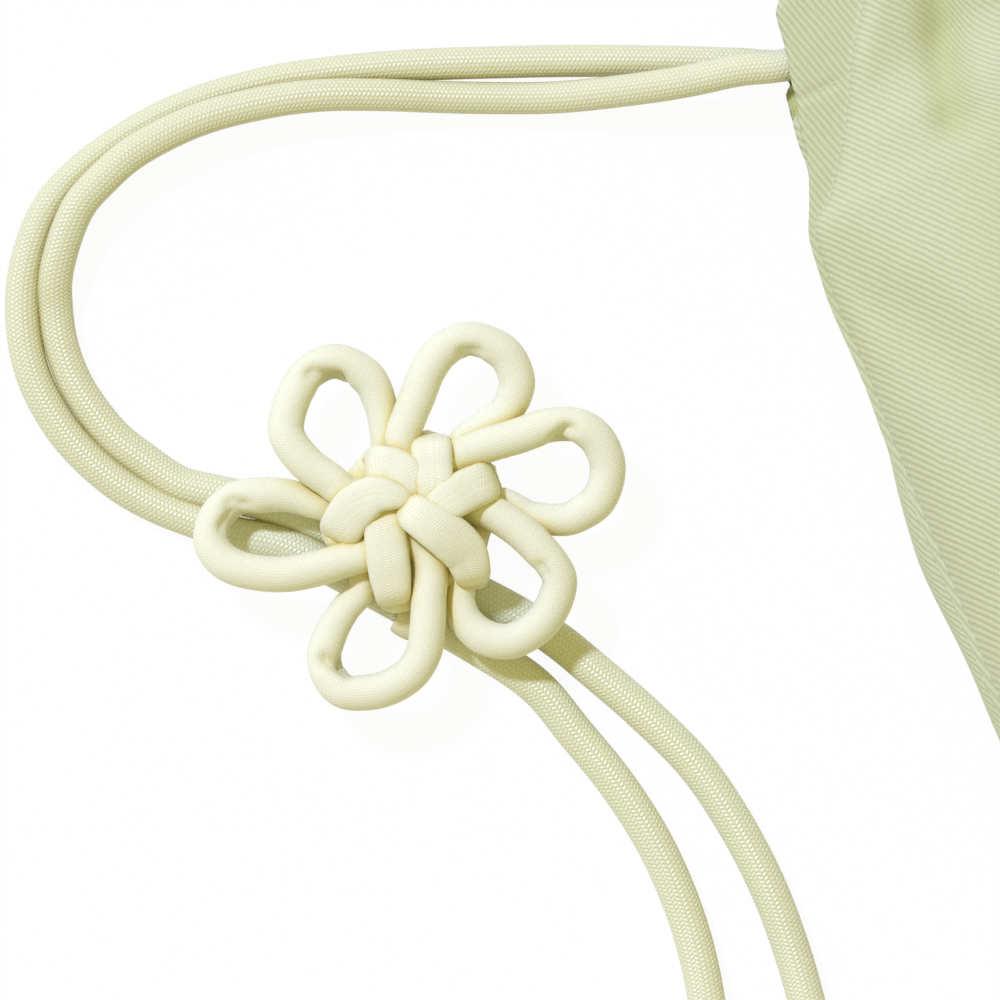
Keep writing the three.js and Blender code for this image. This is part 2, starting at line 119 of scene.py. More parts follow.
def between(table: Sequence[Point2], at: float) -> float:
    """Smooth reading of a table of places and values.

    Args:
        table: Pairs of place and value, by rising place.
        at: The place to read.

    Returns:
        The value there, with level tangents at each pair's turning points.
    """
    places = [p for p, _ in table]
    if at <= places[0]:
        return table[0][1]
    if at >= places[-1]:
        return table[-1][1]
    i = bisect_right(places, at) - 1
    (x1, y1), (x2, y2) = table[i], table[i + 1]

    def slope(j: int) -> float:
        """Tangent at one pair, limited so that the curve has no overshoot.

        Args:
            j: Number of the pair.

        Returns:
            The slope there.
        """
        if j in (0, len(table) - 1):
            return 0.0 if j else (table[1][1] - table[0][1]) / (table[1][0] - table[0][0])
        before = (table[j][1] - table[j - 1][1]) / (table[j][0] - table[j - 1][0])
        after = (table[j + 1][1] - table[j][1]) / (table[j + 1][0] - table[j][0])
        if before * after <= 0:
            return 0.0
        return 2 * before * after / (before + after)

    width = x2 - x1
    t = (at - x1) / width
    hermite = (2 * t**3 - 3 * t**2 + 1) * y1 + (t**3 - 2 * t**2 + t) * width * slope(i)
    return hermite + (3 * t**2 - 2 * t**3) * y2 + (t**3 - t**2) * width * slope(i + 1)


def ease(value: float, low: float, high: float) -> float:
    """Smooth step from 0 at low to 1 at high."""
    t = min(1.0, max(0.0, (value - low) / (high - low)))
    return t * t * (3 - 2 * t)


def stroke_distance(at: Point2, line: Sequence[Point2]) -> float:
    """Distance from a point to a line of straight stretches, in the line's own unit.

    Args:
        at: The point.
        line: The ends of the stretches, in order.

    Returns:
        The least distance.
    """
    best = math.inf
    for (ax, ay), (bx, by) in zip(line, line[1:]):
        dx, dy = bx - ax, by - ay
        t = min(1.0, max(0.0, ((at[0] - ax) * dx + (at[1] - ay) * dy) / (dx * dx + dy * dy)))
        best = min(best, math.hypot(at[0] - ax - t * dx, at[1] - ay - t * dy))
    return best


def mix(a: float, b: float, share: float) -> float:
    """Value between a and b."""
    return a + (b - a) * share


@dataclass
class Station:
    """One cross-section of a cord: its middle, wide axis, two half sizes and how square its outline is."""

    centre: Vector
    side: Vector
    half_width: float
    half_height: float
    edge: float = 2.0

    def mixed(self, other: Station, share: float) -> tuple[Vector, float, float, float]:
        """Wide axis, half sizes and squareness between this station and the next one.

        Args:
            other: The next station.
            share: How far on the way to it.

        Returns:
            The four values, in the order of the fields.
        """
        side = self.side.lerp(other.side, share)
        width = mix(self.half_width, other.half_width, share)
        height = mix(self.half_height, other.half_height, share)
        return side, width, height, mix(self.edge, other.edge, share)

    def outline(self, wide: float, high: float) -> Point2:
        """Place on the section's outline in a direction given by its shares of the two axes.

        Args:
            wide: Share of the wide axis.
            high: Share of the other axis.

        Returns:
            Distances along the two axes, in metres.
        """
        power = 2 / self.edge
        across = math.copysign(abs(wide) ** power, wide) * self.half_width
        return across, math.copysign(abs(high) ** power, high) * self.half_height


def smooth_stations(stations: Sequence[Station], step: float, closed: bool) -> list[Station]:
    """stations: The given stations.

    Args:
        stations: The hand-chosen stations.
        step: Greatest distance between two results, in metres.
        closed: Whether the curve runs back to its start.

    Returns:
        The stations along the curve; a closed curve doesn't repeat its first one.
    """
    count = len(stations)

    def at(i: int) -> Vector:
        """Middle of a station, carried on past the ends of an open curve.

        Args:
            i: Number of the station.

        Returns:
            Its middle.
        """
        if closed:
            return stations[i % count].centre
        if i < 0:
            return 2 * stations[0].centre - stations[1].centre
        if i >= count:
            return 2 * stations[-1].centre - stations[-2].centre
        return stations[i].centre

    made: list[Station] = []
    for i in range(count if closed else count - 1):
        p0, p1, p2, p3 = at(i - 1), at(i), at(i + 1), at(i + 2)
        t1 = max((p1 - p0).length, LEAST_STEP) ** 0.5
        t2 = t1 + max((p2 - p1).length, LEAST_STEP) ** 0.5
        t3 = t2 + max((p3 - p2).length, LEAST_STEP) ** 0.5
        pieces = max(1, math.ceil((p2 - p1).length / step))
        for k in range(pieces):
            t = t1 + (t2 - t1) * k / pieces
            a1 = p0 * ((t1 - t) / t1) + p1 * (t / t1)
            a2 = p1 * ((t2 - t) / (t2 - t1)) + p2 * ((t - t1) / (t2 - t1))
            a3 = p2 * ((t3 - t) / (t3 - t2)) + p3 * ((t - t2) / (t3 - t2))
            b1 = a1 * ((t2 - t) / t2) + a2 * (t / t2)
            b2 = a2 * ((t3 - t) / (t3 - t1)) + a3 * ((t - t1) / (t3 - t1))
            centre = b1 * ((t2 - t) / (t2 - t1)) + b2 * ((t - t1) / (t2 - t1))
            made.append(Station(centre, *stations[i].mixed(stations[(i + 1) % count], k / pieces)))
    if not closed:
        made.append(stations[-1])
    return made


def tangents(stations: Sequence[Station], closed: bool) -> list[Vector]:
    """Unit direction of the curve at each station.

    Args:
        stations: The stations along the curve.
        closed: Whether the curve runs back to its start.

    Returns:
        One direction for each station.
    """
    count = len(stations)
    found: list[Vector] = []
    for i in range(count):
        before = stations[(i - 1) % count] if closed else stations[max(i - 1, 0)]
        after = stations[(i + 1) % count] if closed else stations[min(i + 1, count - 1)]
        found.append((after.centre - before.centre).normalized())
    return found


def reaches(points: Sequence[Vector]) -> list[float]:
    """Distance along a route at each of its points.

    Args:
        points: The route.

    Returns:
        One distance for each point, from 0.
    """
    found = [0.0]
    for a, b in zip(points, points[1:]):
        found.append(found[-1] + (b - a).length)
    return found


def level_sides(points: Sequence[Vector], widths: Sequence[float], height: float) -> list[Station]:
    """Stations on a route whose wide axis stays level, as a cord lies on a table.

    Args:
        points: The route.
        widths: Full width of the cord at each point.
        height: Full thickness of the cord.

    Returns:
        One station for each point.
    """
    stations = [Station(p, UP, width / 2, height / 2) for p, width in zip(points, widths)]
    for station, along in zip(stations, tangents(stations, False)):
        station.side = along.cross(UP).normalized()
    return stations


def mesh_object(name: str, verts: list[Vector], faces: Faces, uvs: list[Point2]) -> bpy.types.Object:
    """A smooth mesh object with one UV map.

    Args:
        name: Name of the piece.
        verts: Its points.
        faces: Its faces, as point numbers.
        uvs: One UV place for each corner of each face, in order.

    Returns:
        The object, in the scene.
    """
    mesh = bpy.data.meshes.new(name)
    mesh.from_pydata([tuple(v) for v in verts], [], faces)
    layer = mesh.uv_layers.new(name="weave")
    layer.data.foreach_set("uv", [value for uv in uvs for value in uv])
    mesh.shade_smooth()
    mesh.update()
    made = bpy.data.objects.new(name, mesh)
    bpy.context.scene.collection.objects.link(made)
    return made


def ring_faces(first: int, rings: int, sides: int, closed: bool) -> Faces:
    """Faces between the rings of a tube.

    Args:
        first: Number of the tube's first point.
        rings: How many rings it has.
        sides: Points in each ring.
        closed: Whether the last ring joins the first one.

    Returns:
        The faces, as point numbers.
    """
    faces: Faces = []
    for i in range(rings if closed else rings - 1):
        here, there = first + i * sides, first + (i + 1) % rings * sides
        for j in range(sides):
            k = (j + 1) % sides
            faces.append((here + j, here + k, there + k, there + j))
    return faces


def tube_points(stations: Sequence[Station], sides: int, closed: bool) -> list[Vector]:
    """Points of a tube whose rings don't twist against each other.

    Args:
        stations: Its cross-sections, at short steps.
        sides: Points in each cross-section.
        closed: Whether the tube runs back into its start.

    Returns:
        The points, ring by ring.
    """
    count = len(stations)
    along = tangents(stations, closed)
    normals = [along[0].orthogonal().normalized()]
    for i in range(1, count):
        normals.append(along[i - 1].rotation_difference(along[i]) @ normals[-1])
    drift = 0.0
    if closed:
        last = along[-1].rotation_difference(along[0]) @ normals[-1]
        drift = math.atan2(along[0].dot(last.cross(normals[0])), last.dot(normals[0]))
    points: list[Vector] = []
    for i, station in enumerate(stations):
        cross = along[i].cross(normals[i])
        wide = (station.side - along[i] * station.side.dot(along[i])).normalized()
        high = along[i].cross(wide)
        for j in range(sides):
            a = 2 * math.pi * j / sides + drift * i / count
            out = normals[i] * math.cos(a) + cross * math.sin(a)
            across, upward = station.outline(out.dot(wide), out.dot(high))
            points.append(station.centre + wide * across + high * upward)
    return points


def sweep(
    name: str, stations: Sequence[Station], sides: int, closed: bool, start: float = 0.0
) -> bpy.types.Object:
    """A tube through the stations, whose UV runs round it from 0 to 1 and along it in metres.

    An open tube has one more ring close to each end, so that its flat cap doesn't bend the sides' shading.

    Args:
        name: Name of the piece.
        stations: Its cross-sections, at short steps.
        sides: Points in each cross-section.
        closed: Whether the tube runs back into its start.
        start: UV length at the first station.

    Returns:
        The tube as an object.
    """
    if not closed:
        ends = (stations[:2], stations[:-3:-1])
        first, last = (Station(a.centre.lerp(b.centre, END_RING), *a.mixed(b, END_RING)) for a, b in ends)
        stations = [stations[0], first, *stations[1:-1], last, stations[-1]]
    count = len(stations)
    faces = ring_faces(0, count, sides, closed)
    centres = [station.centre for station in stations]
    lengths = [start + reach for reach in reaches([*centres, centres[0]] if closed else centres)]
    uvs: list[Point2] = []
    for near, far in zip(lengths, lengths[1:]):
        for j in range(sides):
            left, right = j / sides, (j + 1) / sides
            uvs += [(left, near), (right, near), (right, far), (left, far)]
    if not closed:
        for corner, order in ((0, -1), ((count - 1) * sides, 1)):
            faces.append(tuple(range(corner, corner + sides))[::order])
            uvs += [(0.0, lengths[0])] * sides
    made = mesh_object(name, tube_points(stations, sides, closed), faces, uvs)
    if not closed:
        for cap in (-2, -1):
            made.data.polygons[cap].use_smooth = False
    return made


def store_painted_shade(piece: bpy.types.Object, shares: list[float]) -> None:
    """Keeps each point's share of painted shade on a piece, where its material reads it."""
    layer = piece.data.attributes.new("painted_shade", "FLOAT", "POINT")
    layer.data.foreach_set("value", shares)


def dome_rays(count: int) -> list[Vector]:
    """Directions spread over a dome about +Z by the golden angle, closest at its top.

    Args:
        count: How many directions.

    Returns:
        The unit directions.
    """
    golden = math.pi * (3 - math.sqrt(5))
    rays: list[Vector] = []
    for i in range(count):
        z = math.sqrt(1 - (i + 0.5) / count)
        r = math.sqrt(1 - z * z)
        rays.append(Vector((r * math.cos(golden * i), r * math.sin(golden * i), z)))
    return rays


def mark_painted_shade(
    piece: bpy.types.Object, beside: Sequence[bpy.types.Object], reach: float, least: float = 0.0
) -> None:
    """Measures how far each point of a piece is closed in, and stores that as its share of painted shade.

    Args:
        piece: The piece.
        beside: Other pieces of the same body that close it in.
        reach: How far away a surface still counts, in metres.
        least: Share of painted shade that every point has at least.
    """
    verts: list[Vector] = []
    faces: list[list[int]] = []
    for part in (piece, *beside):
        first = len(verts)
        verts += [vertex.co.copy() for vertex in part.data.vertices]
        faces += [[first + k for k in face.vertices] for face in part.data.polygons]
    tree = BVHTree.FromPolygons(verts, faces)
    rays = dome_rays(PAINTED_SHADE_RAYS)
    shares: list[float] = []
    for vertex, normal in zip(piece.data.vertices, piece.data.vertex_normals):
        turn = normal.vector.to_track_quat("Z", "Y")
        start = vertex.co + normal.vector * PAINTED_SHADE_LIFT
        shut = 0.0
        for ray in rays:
            *_, distance = tree.ray_cast(start, turn @ ray, reach)
            if distance is not None:
                shut += 1 - distance / reach
        shares.append(max(least, shut / PAINTED_SHADE_RAYS))
    store_painted_shade(piece, shares)


class NodeKit:
    """Adds and joins the nodes of one shader tree."""

    def __init__(self, tree: bpy.types.NodeTree) -> None:
        """Keeps the tree that the nodes go into."""
        self.tree = tree

    def add(self, kind: str, **settings: object) -> bpy.types.Node:
        """A new node of that kind, with its settings.

        Args:
            kind: The node's type name.
            settings: Values of the node's own properties.

        Returns:
            The node.
        """
        node = self.tree.nodes.new(kind)
        for name, value in settings.items():
            setattr(node, name, value)
        return node

    def put(self, socket: bpy.types.NodeSocket, value: object) -> None:
        """Links a socket or sets a plain value on it.

        Args:
            socket: The input socket.
            value: An output socket to link, or a plain value.
        """
        if isinstance(value, bpy.types.NodeSocket):
            self.tree.links.new(value, socket)
        else:
            socket.default_value = value

    def math(self, operation: str, *values: object) -> bpy.types.NodeSocket:
        """Result of a Math node over sockets and numbers.

        Args:
            operation: The node's operation.
            values: Its inputs, in order.

        Returns:
            Its output socket.
        """
        node = self.add("ShaderNodeMath", operation=operation)
        for socket, value in zip(node.inputs, values):
            self.put(socket, value)
        return node.outputs[0]

    def mix(self, share: object, a: object, b: object) -> bpy.types.NodeSocket:
        """Colour between a and b.

        Args:
            share: Share of b.
            a: The first colour.
            b: The second colour.

        Returns:
            The mixed colour's socket.
        """
        node = self.add("ShaderNodeMix", data_type="RGBA")
        self.put(node.inputs["Factor"], share)
        # A Mix node's colours are its inputs 6 and 7 and its output 2.
        self.put(node.inputs[6], a)
        self.put(node.inputs[7], b)
        return node.outputs[2]

    def noise(self, vector: object, scale: float, detail: float = 2.0) -> bpy.types.NodeSocket:
        """Value of a noise texture.

        Args:
            vector: Where it is read.
            scale: Its scale.
            detail: How many finer layers it has.

        Returns:
            Its output socket.
        """
        node = self.add("ShaderNodeTexNoise")
        self.put(node.inputs["Vector"], vector)
        node.inputs["Scale"].default_value = scale
        node.inputs["Detail"].default_value = detail
        return node.outputs["Fac"]

    def group(self, tree: bpy.types.NodeTree, **values: object) -> bpy.types.Node:
        """A node of a group, with its inputs linked or set.

        Args:
            tree: The group.
            values: What goes into each named input.

        Returns:
            The node.
        """
        node = self.add("ShaderNodeGroup", node_tree=tree)
        for name, value in values.items():
            self.put(node.inputs[name], value)
        return node


def effect_group(
    name: str, inputs: Sequence[tuple[str, str]], outputs: Sequence[str]
) -> tuple[NodeKit, dict[str, bpy.types.NodeSocket], dict[str, bpy.types.NodeSocket]]:
    """An empty shader group with its sockets.

    Args:
        name: Name of the group.
        inputs: Name and socket kind of each input.
        outputs: Name of each value that it puts out.
    """
    tree = bpy.data.node_groups.new(name, "ShaderNodeTree")
    for label, kind in inputs:
        tree.interface.new_socket(label, in_out="INPUT", socket_type=kind)
    for label in outputs:
        tree.interface.new_socket(label, in_out="OUTPUT", socket_type="NodeSocketFloat")
    kit = NodeKit(tree)
    source, sink = kit.add("NodeGroupInput"), kit.add("NodeGroupOutput")
    return kit, {s.name: s for s in source.outputs}, {s.name: s for s in sink.inputs}


# Power that rounds a rib's top, and the scales of the slow and the fine noise in a fabric's tone.
RIB_ROUNDNESS = 0.7
UNEVEN_SCALE = 60.0
UNEVEN_DETAIL = 3.0
FLECK_SCALE = 2200.0


class Effects:
    """The shader groups that the fabrics share."""

    def __init__(self) -> None:
        """Builds each group once."""
        self.ribs = self._slanted_ribs()
        self.tone = self._yarn_tone()
        self.painted_shade = self._painted_shade_share()

    @staticmethod
    def _slanted_ribs() -> bpy.types.NodeTree:
        """Rows of rounded ribs that lean by a slope: 1 on a rib's top and 0 between two.

        Returns:
            The group.
        """
        inputs = [(name, "NodeSocketFloat") for name in ("Along", "Across", "Slope")]
        kit, source, sink = effect_group("slanted_ribs", inputs, ["Height"])
        lean = kit.math("MULTIPLY", source["Across"], source["Slope"])
        phase = kit.math("MULTIPLY", kit.math("ADD", source["Along"], lean), 2 * math.pi)
        wave = kit.math("MULTIPLY_ADD", kit.math("COSINE", phase), 0.5, 0.5)
        kit.put(sink["Height"], kit.math("POWER", wave, RIB_ROUNDNESS))
        return kit.tree

    @staticmethod
    def _yarn_tone() -> bpy.types.NodeTree:
        """Slow unevenness of a dyed fabric and the fine flecks of its fibres, about 1.

        Returns:
            The group.
        """
        inputs = [("Vector", "NodeSocketVector")]
        inputs += [(name, "NodeSocketFloat") for name in ("Unevenness", "Flecks")]
        kit, source, sink = effect_group("yarn_tone", inputs, ["Tone"])
        slow = kit.math("SUBTRACT", kit.noise(source["Vector"], UNEVEN_SCALE, UNEVEN_DETAIL), 0.5)
        fine = kit.math("SUBTRACT", kit.noise(source["Vector"], FLECK_SCALE), 0.5)
        uneven = kit.math("MULTIPLY_ADD", slow, source["Unevenness"], 1.0)
        kit.put(sink["Tone"], kit.math("MULTIPLY_ADD", fine, source["Flecks"], uneven))
        return kit.tree

    @staticmethod
    def _painted_shade_share() -> bpy.types.NodeTree:
        """Share of the painted shade colour that a fabric shows where it is closed in.

        Returns:
            The group.
        """
        kit, source, sink = effect_group("painted_shade_share", [("Gain", "NodeSocketFloat")], ["Share"])
        mask = kit.add("ShaderNodeAttribute", attribute_name="painted_shade").outputs["Fac"]
        kit.put(sink["Share"], kit.math("MINIMUM", kit.math("MULTIPLY", mask, source["Gain"]), 1.0))
        return kit.tree


# How much smoother a relief's tops are than its gaps, and what all fabrics share in sheen and relief.
ROUGHNESS_SWING = 0.12
SHEEN_ROUGHNESS = 0.5
BUMP_STRENGTH = 0.9


@dataclass(frozen=True)
class Fabric:
    """What every fabric of the pouch has: its colours, roughness, sheen, relief and the shade painted into
    its hollows.
    """

    name: str
    # Colours of the relief's tops and gaps; the gaps' darker colour is painted shade between the yarns.
    high_colour: Point3
    low_colour: Point3
    roughness: float
    sheen: float
    relief: float
    unevenness: float
    flecks: float
    # Colour painted where the piece is closed in, standing in for the shade there, and how strongly the
    # closed-in share is raised.
    painted_shade_colour: Point3
    painted_shade_gain: float

    def height(self, kit: NodeKit, effects: Effects, uv: bpy.types.NodeSocket) -> bpy.types.NodeSocket:
        """Height of the fabric's relief, from 0 to 1, which each fabric makes in its own way."""
        raise NotImplementedError

    def material(self, effects: Effects) -> bpy.types.Material:
        """The finished material.

        Args:
            effects: The shared shader groups.

        Returns:
            A new material.
        """
        made = bpy.data.materials.new(self.name)
        made.use_nodes = True
        kit = NodeKit(made.node_tree)
        shader = made.node_tree.nodes["Principled BSDF"]
        uv = kit.add("ShaderNodeUVMap", uv_map="weave").outputs["UV"]
        place = kit.add("ShaderNodeTexCoord").outputs["Object"]
        height = self.height(kit, effects, uv)
        yarns = kit.group(effects.tone, Vector=place, Unevenness=self.unevenness, Flecks=self.flecks)
        # Painted shade: the deeper colour is mixed in where the piece is closed in.
        painted_shade = kit.group(effects.painted_shade, Gain=self.painted_shade_gain).outputs["Share"]
        # Gaps of the relief take the darker colour: painted shade between the yarns.
        yarn = kit.mix(height, (*self.low_colour, 1), (*self.high_colour, 1))
        colour = kit.mix(painted_shade, yarn, (*self.painted_shade_colour, 1))
        scaled = kit.add("ShaderNodeVectorMath", operation="SCALE")
        kit.put(scaled.inputs[0], colour)
        kit.put(scaled.inputs["Scale"], yarns.outputs["Tone"])
        kit.put(shader.inputs["Base Color"], scaled.outputs[0])
        in_gaps = self.roughness + ROUGHNESS_SWING / 2
        kit.put(shader.inputs["Roughness"], kit.math("MULTIPLY_ADD", height, -ROUGHNESS_SWING, in_gaps))
        shader.inputs["Sheen Weight"].default_value = self.sheen
        shader.inputs["Sheen Roughness"].default_value = SHEEN_ROUGHNESS
        bump = kit.add("ShaderNodeBump")
        bump.inputs["Distance"].default_value = self.relief
        bump.inputs["Strength"].default_value = BUMP_STRENGTH
        kit.put(bump.inputs["Height"], height)
        kit.put(shader.inputs["Normal"], bump.outputs["Normal"])
        return made


@dataclass(frozen=True)
class Twill(Fabric):
    """Left-hand twill: steep raised lines, each a row of short floats."""

    line_pitch: float = 1.0 * MM
    float_length: float = 0.55 * MM
    float_step: float = 0.38
    float_depth: float = 0.3
    wander: float = 0.5
    wander_scale: float = 260.0

    def height(self, kit: NodeKit, effects: Effects, uv: bpy.types.NodeSocket) -> bpy.types.NodeSocket:
        """Lines at 45 degrees, broken into floats.

        Args:
            effects: The shared shader groups.
            uv: Place on the cloth, in metres.

        Returns:
            The relief's height, from 0 to 1.
        """
        parts = kit.add("ShaderNodeSeparateXYZ")
        kit.put(parts.inputs[0], uv)
        drift = kit.math("SUBTRACT", kit.noise(uv, self.wander_scale), 0.5)
        wander = kit.math("MULTIPLY", drift, self.wander)
        diagonal = math.sqrt(0.5)
        across = kit.math("MULTIPLY", kit.math("ADD", *parts.outputs[:2]), diagonal / self.line_pitch)
        along = kit.math("MULTIPLY", kit.math("SUBTRACT", *parts.outputs[:2]), diagonal / self.float_length)
        wavy = kit.math("ADD", across, wander)
        lines = kit.group(effects.ribs, Along=wavy, Across=0.0, Slope=0.0).outputs[0]
        row = kit.math("FLOOR", across)
        floats = kit.group(effects.ribs, Along=along, Across=row, Slope=self.float_step).outputs[0]
        broken = kit.math("MULTIPLY_ADD", floats, self.float_depth, 1 - self.float_depth)
        return kit.math("MULTIPLY", lines, broken)


@dataclass(frozen=True)
class Plait(Fabric):
    """Columns of leaning picks round a cord: a braid's strands, or, finer, a knitted tube's stitches."""

    columns: int = 16
    pick: float = 0.5 * MM
    lean: float = 0.9
    column_roundness: float = 0.5

    def height(self, kit: NodeKit, effects: Effects, uv: bpy.types.NodeSocket) -> bpy.types.NodeSocket:
        """Picks that lean left and right by turns from column to column.

        Args:
            effects: The shared shader groups.
            uv: Share of the way round the cord, and place along it in metres.

        Returns:
            The relief's height, from 0 to 1.
        """
        parts = kit.add("ShaderNodeSeparateXYZ")
        kit.put(parts.inputs[0], uv)
        column = kit.math("MULTIPLY", parts.outputs[0], float(self.columns))
        inside = kit.math("SUBTRACT", kit.math("FRACT", column), 0.5)
        parity = kit.math("MODULO", kit.math("FLOOR", column), 2.0)
        slope = kit.math("MULTIPLY_ADD", parity, -2 * self.lean, self.lean)
        along = kit.math("MULTIPLY_ADD", parity, 0.5, kit.math("DIVIDE", parts.outputs[1], self.pick))
        picks = kit.group(effects.ribs, Along=along, Across=inside, Slope=slope).outputs[0]
        bow = kit.math("COSINE", kit.math("MULTIPLY", inside, math.pi))
        return kit.math("MULTIPLY", picks, kit.math("POWER", bow, self.column_roundness))


# Each fabric's deeper colour is painted shade where it is closed in, in folds and crevices.
TWILL = Twill(
    "pale_green_twill",
    high_colour=(0.69, 0.715, 0.49),
    low_colour=(0.53, 0.56, 0.315),
    painted_shade_colour=(0.53, 0.565, 0.22),
    painted_shade_gain=1.0,
    roughness=0.85,
    sheen=0.12,
    relief=0.13 * MM,
    unevenness=0.10,
    flecks=0.12,
)
BRAID = Plait(
    "pale_yellow_braid",
    high_colour=(0.845, 0.845, 0.615),
    low_colour=(0.725, 0.725, 0.46),
    painted_shade_colour=(0.62, 0.57, 0.25),
    painted_shade_gain=1.6,
    roughness=0.34,
    sheen=0.1,
    relief=0.12 * MM,
    unevenness=0.06,
    flecks=0.06,
    columns=22,
    pick=0.75 * MM,
    lean=0.42,
)
KNIT = Plait(
    "cream_knit",
    high_colour=(0.95, 0.95, 0.78),
    low_colour=(0.86, 0.85, 0.63),
    painted_shade_colour=(0.80, 0.71, 0.31),
    painted_shade_gain=1.8,
    roughness=0.8,
    sheen=0.2,
    relief=0.06 * MM,
    unevenness=0.06,
    flecks=0.1,
    columns=36,
    pick=0.42 * MM,
    lean=0.5,
)


class Wardrobe:
    """The materials by slot, each made once."""

    def __init__(self) -> None:
        """Makes the shared effects and the three fabrics."""
        effects = Effects()
        self.materials = {
            Slot.TWILL: TWILL.material(effects),
            Slot.BRAID: BRAID.material(effects),
            Slot.KNIT: KNIT.material(effects),
        }

    def dress(self, piece: bpy.types.Object, slot: Slot, body: Body, *nodes: str) -> bpy.types.Object:
        """Gives a piece the material of its slot, hangs it on its body and hides the nodes that it stands
        for.

        Args:
            piece: The piece.
            slot: The record's slot of its finish.
            body: The body that it moves with.
            nodes: CAD nodes that it replaces.

        Returns:
            The same piece.
        """
        piece.data.materials.append(self.materials[slot])
        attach(piece, body.value)
        if nodes:
            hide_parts(*nodes)
        LOG.info("%s rides on %s", piece.name, body.value)
        return piece


@dataclass
class Studio:
    """Camera straight above, one soft lamp from the upper left of the picture, and a white floor."""

    view_centre: Point3 = (-0.15899, 0.0465, 0.005)
    view_width: float = 1000 / 6 * MM
    camera_height: float = 4.0
    camera_reach: float = 20.0
    sensor: float = 36.0
    lamp_travel: Point3 = (0.2449, -0.7762, -1.0)
    lamp_strength: float = 3.13
    lamp_colour: Point3 = (0.56, 0.628, 1.0)
    lamp_angle: float = math.radians(6)
    sky: Point3 = (0.56, 0.508, 0.22)
    floor_size: float = 4.0
    floor_level: float = -0.0003
    floor_colour: Point3 = (0.93, 0.93, 0.93)
    floor_roughness: float = 0.9
    floor_shadow: float = 0.05

    def set_up(self) -> None:
        """Makes the camera, the lamp, the sky and the floor."""
        scene = bpy.context.scene
        scene.view_settings.view_transform = "Standard"
        self._camera(scene)
        self._lamp(scene)
        self._sky(scene)
        self._floor()

    def _camera(self, scene: bpy.types.Scene) -> None:
        """The camera of the photograph's view.

        Args:
            scene: The scene that it goes into.
        """
        data = bpy.data.cameras.new("camera")
        data.sensor_width = self.sensor
        data.lens = self.sensor * self.camera_height / self.view_width
        data.clip_end = self.camera_reach
        camera = bpy.data.objects.new("camera", data)
        camera.location = Vector(self.view_centre) + UP * self.camera_height
        camera.rotation_euler = (0, 0, PLAN_ANGLE)
        scene.collection.objects.link(camera)
        scene.camera = camera

    def _lamp(self, scene: bpy.types.Scene) -> None:
        """A sun whose edge is soft.

        Args:
            scene: The scene that it goes into.
        """
        data = bpy.data.lights.new("lamp", "SUN")
        data.energy = self.lamp_strength
        data.color = self.lamp_colour
        data.angle = self.lamp_angle
        lamp = bpy.data.objects.new("lamp", data)
        lamp.rotation_euler = Vector(self.lamp_travel).to_track_quat("-Z", "Y").to_euler()
        scene.collection.objects.link(lamp)

    def _sky(self, scene: bpy.types.Scene) -> None:
        """Even light from all round, white where the camera sees it.

        Args:
            scene: The scene that it lights.
        """
        world = bpy.data.worlds.new("sky")
        world.use_nodes = True
        kit = NodeKit(world.node_tree)
        background = world.node_tree.nodes["Background"]
        seen = kit.add("ShaderNodeLightPath").outputs["Is Camera Ray"]
        kit.put(background.inputs["Color"], kit.mix(seen, (*self.sky, 1), (1, 1, 1, 1)))
        scene.world = world

    def _floor(self) -> None:
        """A white floor that keeps a light shadow."""
        square = ((0.0, 0.0), (1.0, 0.0), (1.0, 1.0), (0.0, 1.0))
        size, level = self.floor_size, self.floor_level
        corners = [Vector(((u - 0.5) * size, (v - 0.5) * size, level)) for u, v in square]
        floor = mesh_object("floor", corners, [(0, 1, 2, 3)], list(square))
        material = bpy.data.materials.new("white_floor")
        material.use_nodes = True
        tree = material.node_tree
        kit = NodeKit(tree)
        shader = tree.nodes["Principled BSDF"]
        shader.inputs["Base Color"].default_value = (*self.floor_colour, 1)
        shader.inputs["Roughness"].default_value = self.floor_roughness
        glow = kit.add("ShaderNodeEmission")
        path = kit.add("ShaderNodeLightPath")
        seen = kit.math("MAXIMUM", path.outputs["Is Camera Ray"], path.outputs["Is Glossy Ray"])
        seen = kit.math("MAXIMUM", seen, path.outputs["Is Transmission Ray"])
        blend = kit.add("ShaderNodeMixShader")
        kit.put(blend.inputs[0], kit.math("MULTIPLY", seen, 1 - self.floor_shadow))
        kit.put(blend.inputs[1], shader.outputs[0])
        kit.put(blend.inputs[2], glow.outputs[0])
        kit.put(tree.nodes["Material Output"].inputs["Surface"], blend.outputs[0])
        floor.data.materials.append(material)


BACK_ROUTE: list[Point3] = [
    (-8, 0.2, 3.9), (-17, 0.5, 3.2), (-28, 0.7, 2.6), (-38, 0.7, 2.3), (-48, 0.5, 2.3), (-58, 0.2, 2.3),
    (-68, -0.4, 2.3), (-78, -1.5, 2.3), (-86.5, -2.9, 2.3), (-99.4, -6.7, 2.3), (-109.7, -11.9, 2.3),
    (-119.6, -19.5, 2.3), (-124, -25.4, 2.3), (-126.8, -33.5, 2.3), (-127.5, -39.5, 2.3),
    (-127, -46.4, 2.3), (-125.4, -52.4, 2.3), (-122.4, -58.3, 2.3), (-118.5, -63.5, 2.3),
    (-111.7, -69.6, 2.3), (-105.1, -73.4, 2.3), (-98.4, -76, 2.4), (-92.8, -78, 2.7),
    (-83.7, -80, 3.5), (-73.7, -85, 3.9), (-62.5, -91, 3.9), (-53, -96.2, 3.4), (-42, -103.4, 2.5),
    (-35.3, -111.3, 2.3), (-28.1, -120.2, 2.3), (-21.4, -131, 2.3), (-16.2, -143.7, 2.3),
    (-13.4, -155.8, 3.2), (-12.6, -166, 5.4), (-12.4, -174, 5.6),
]
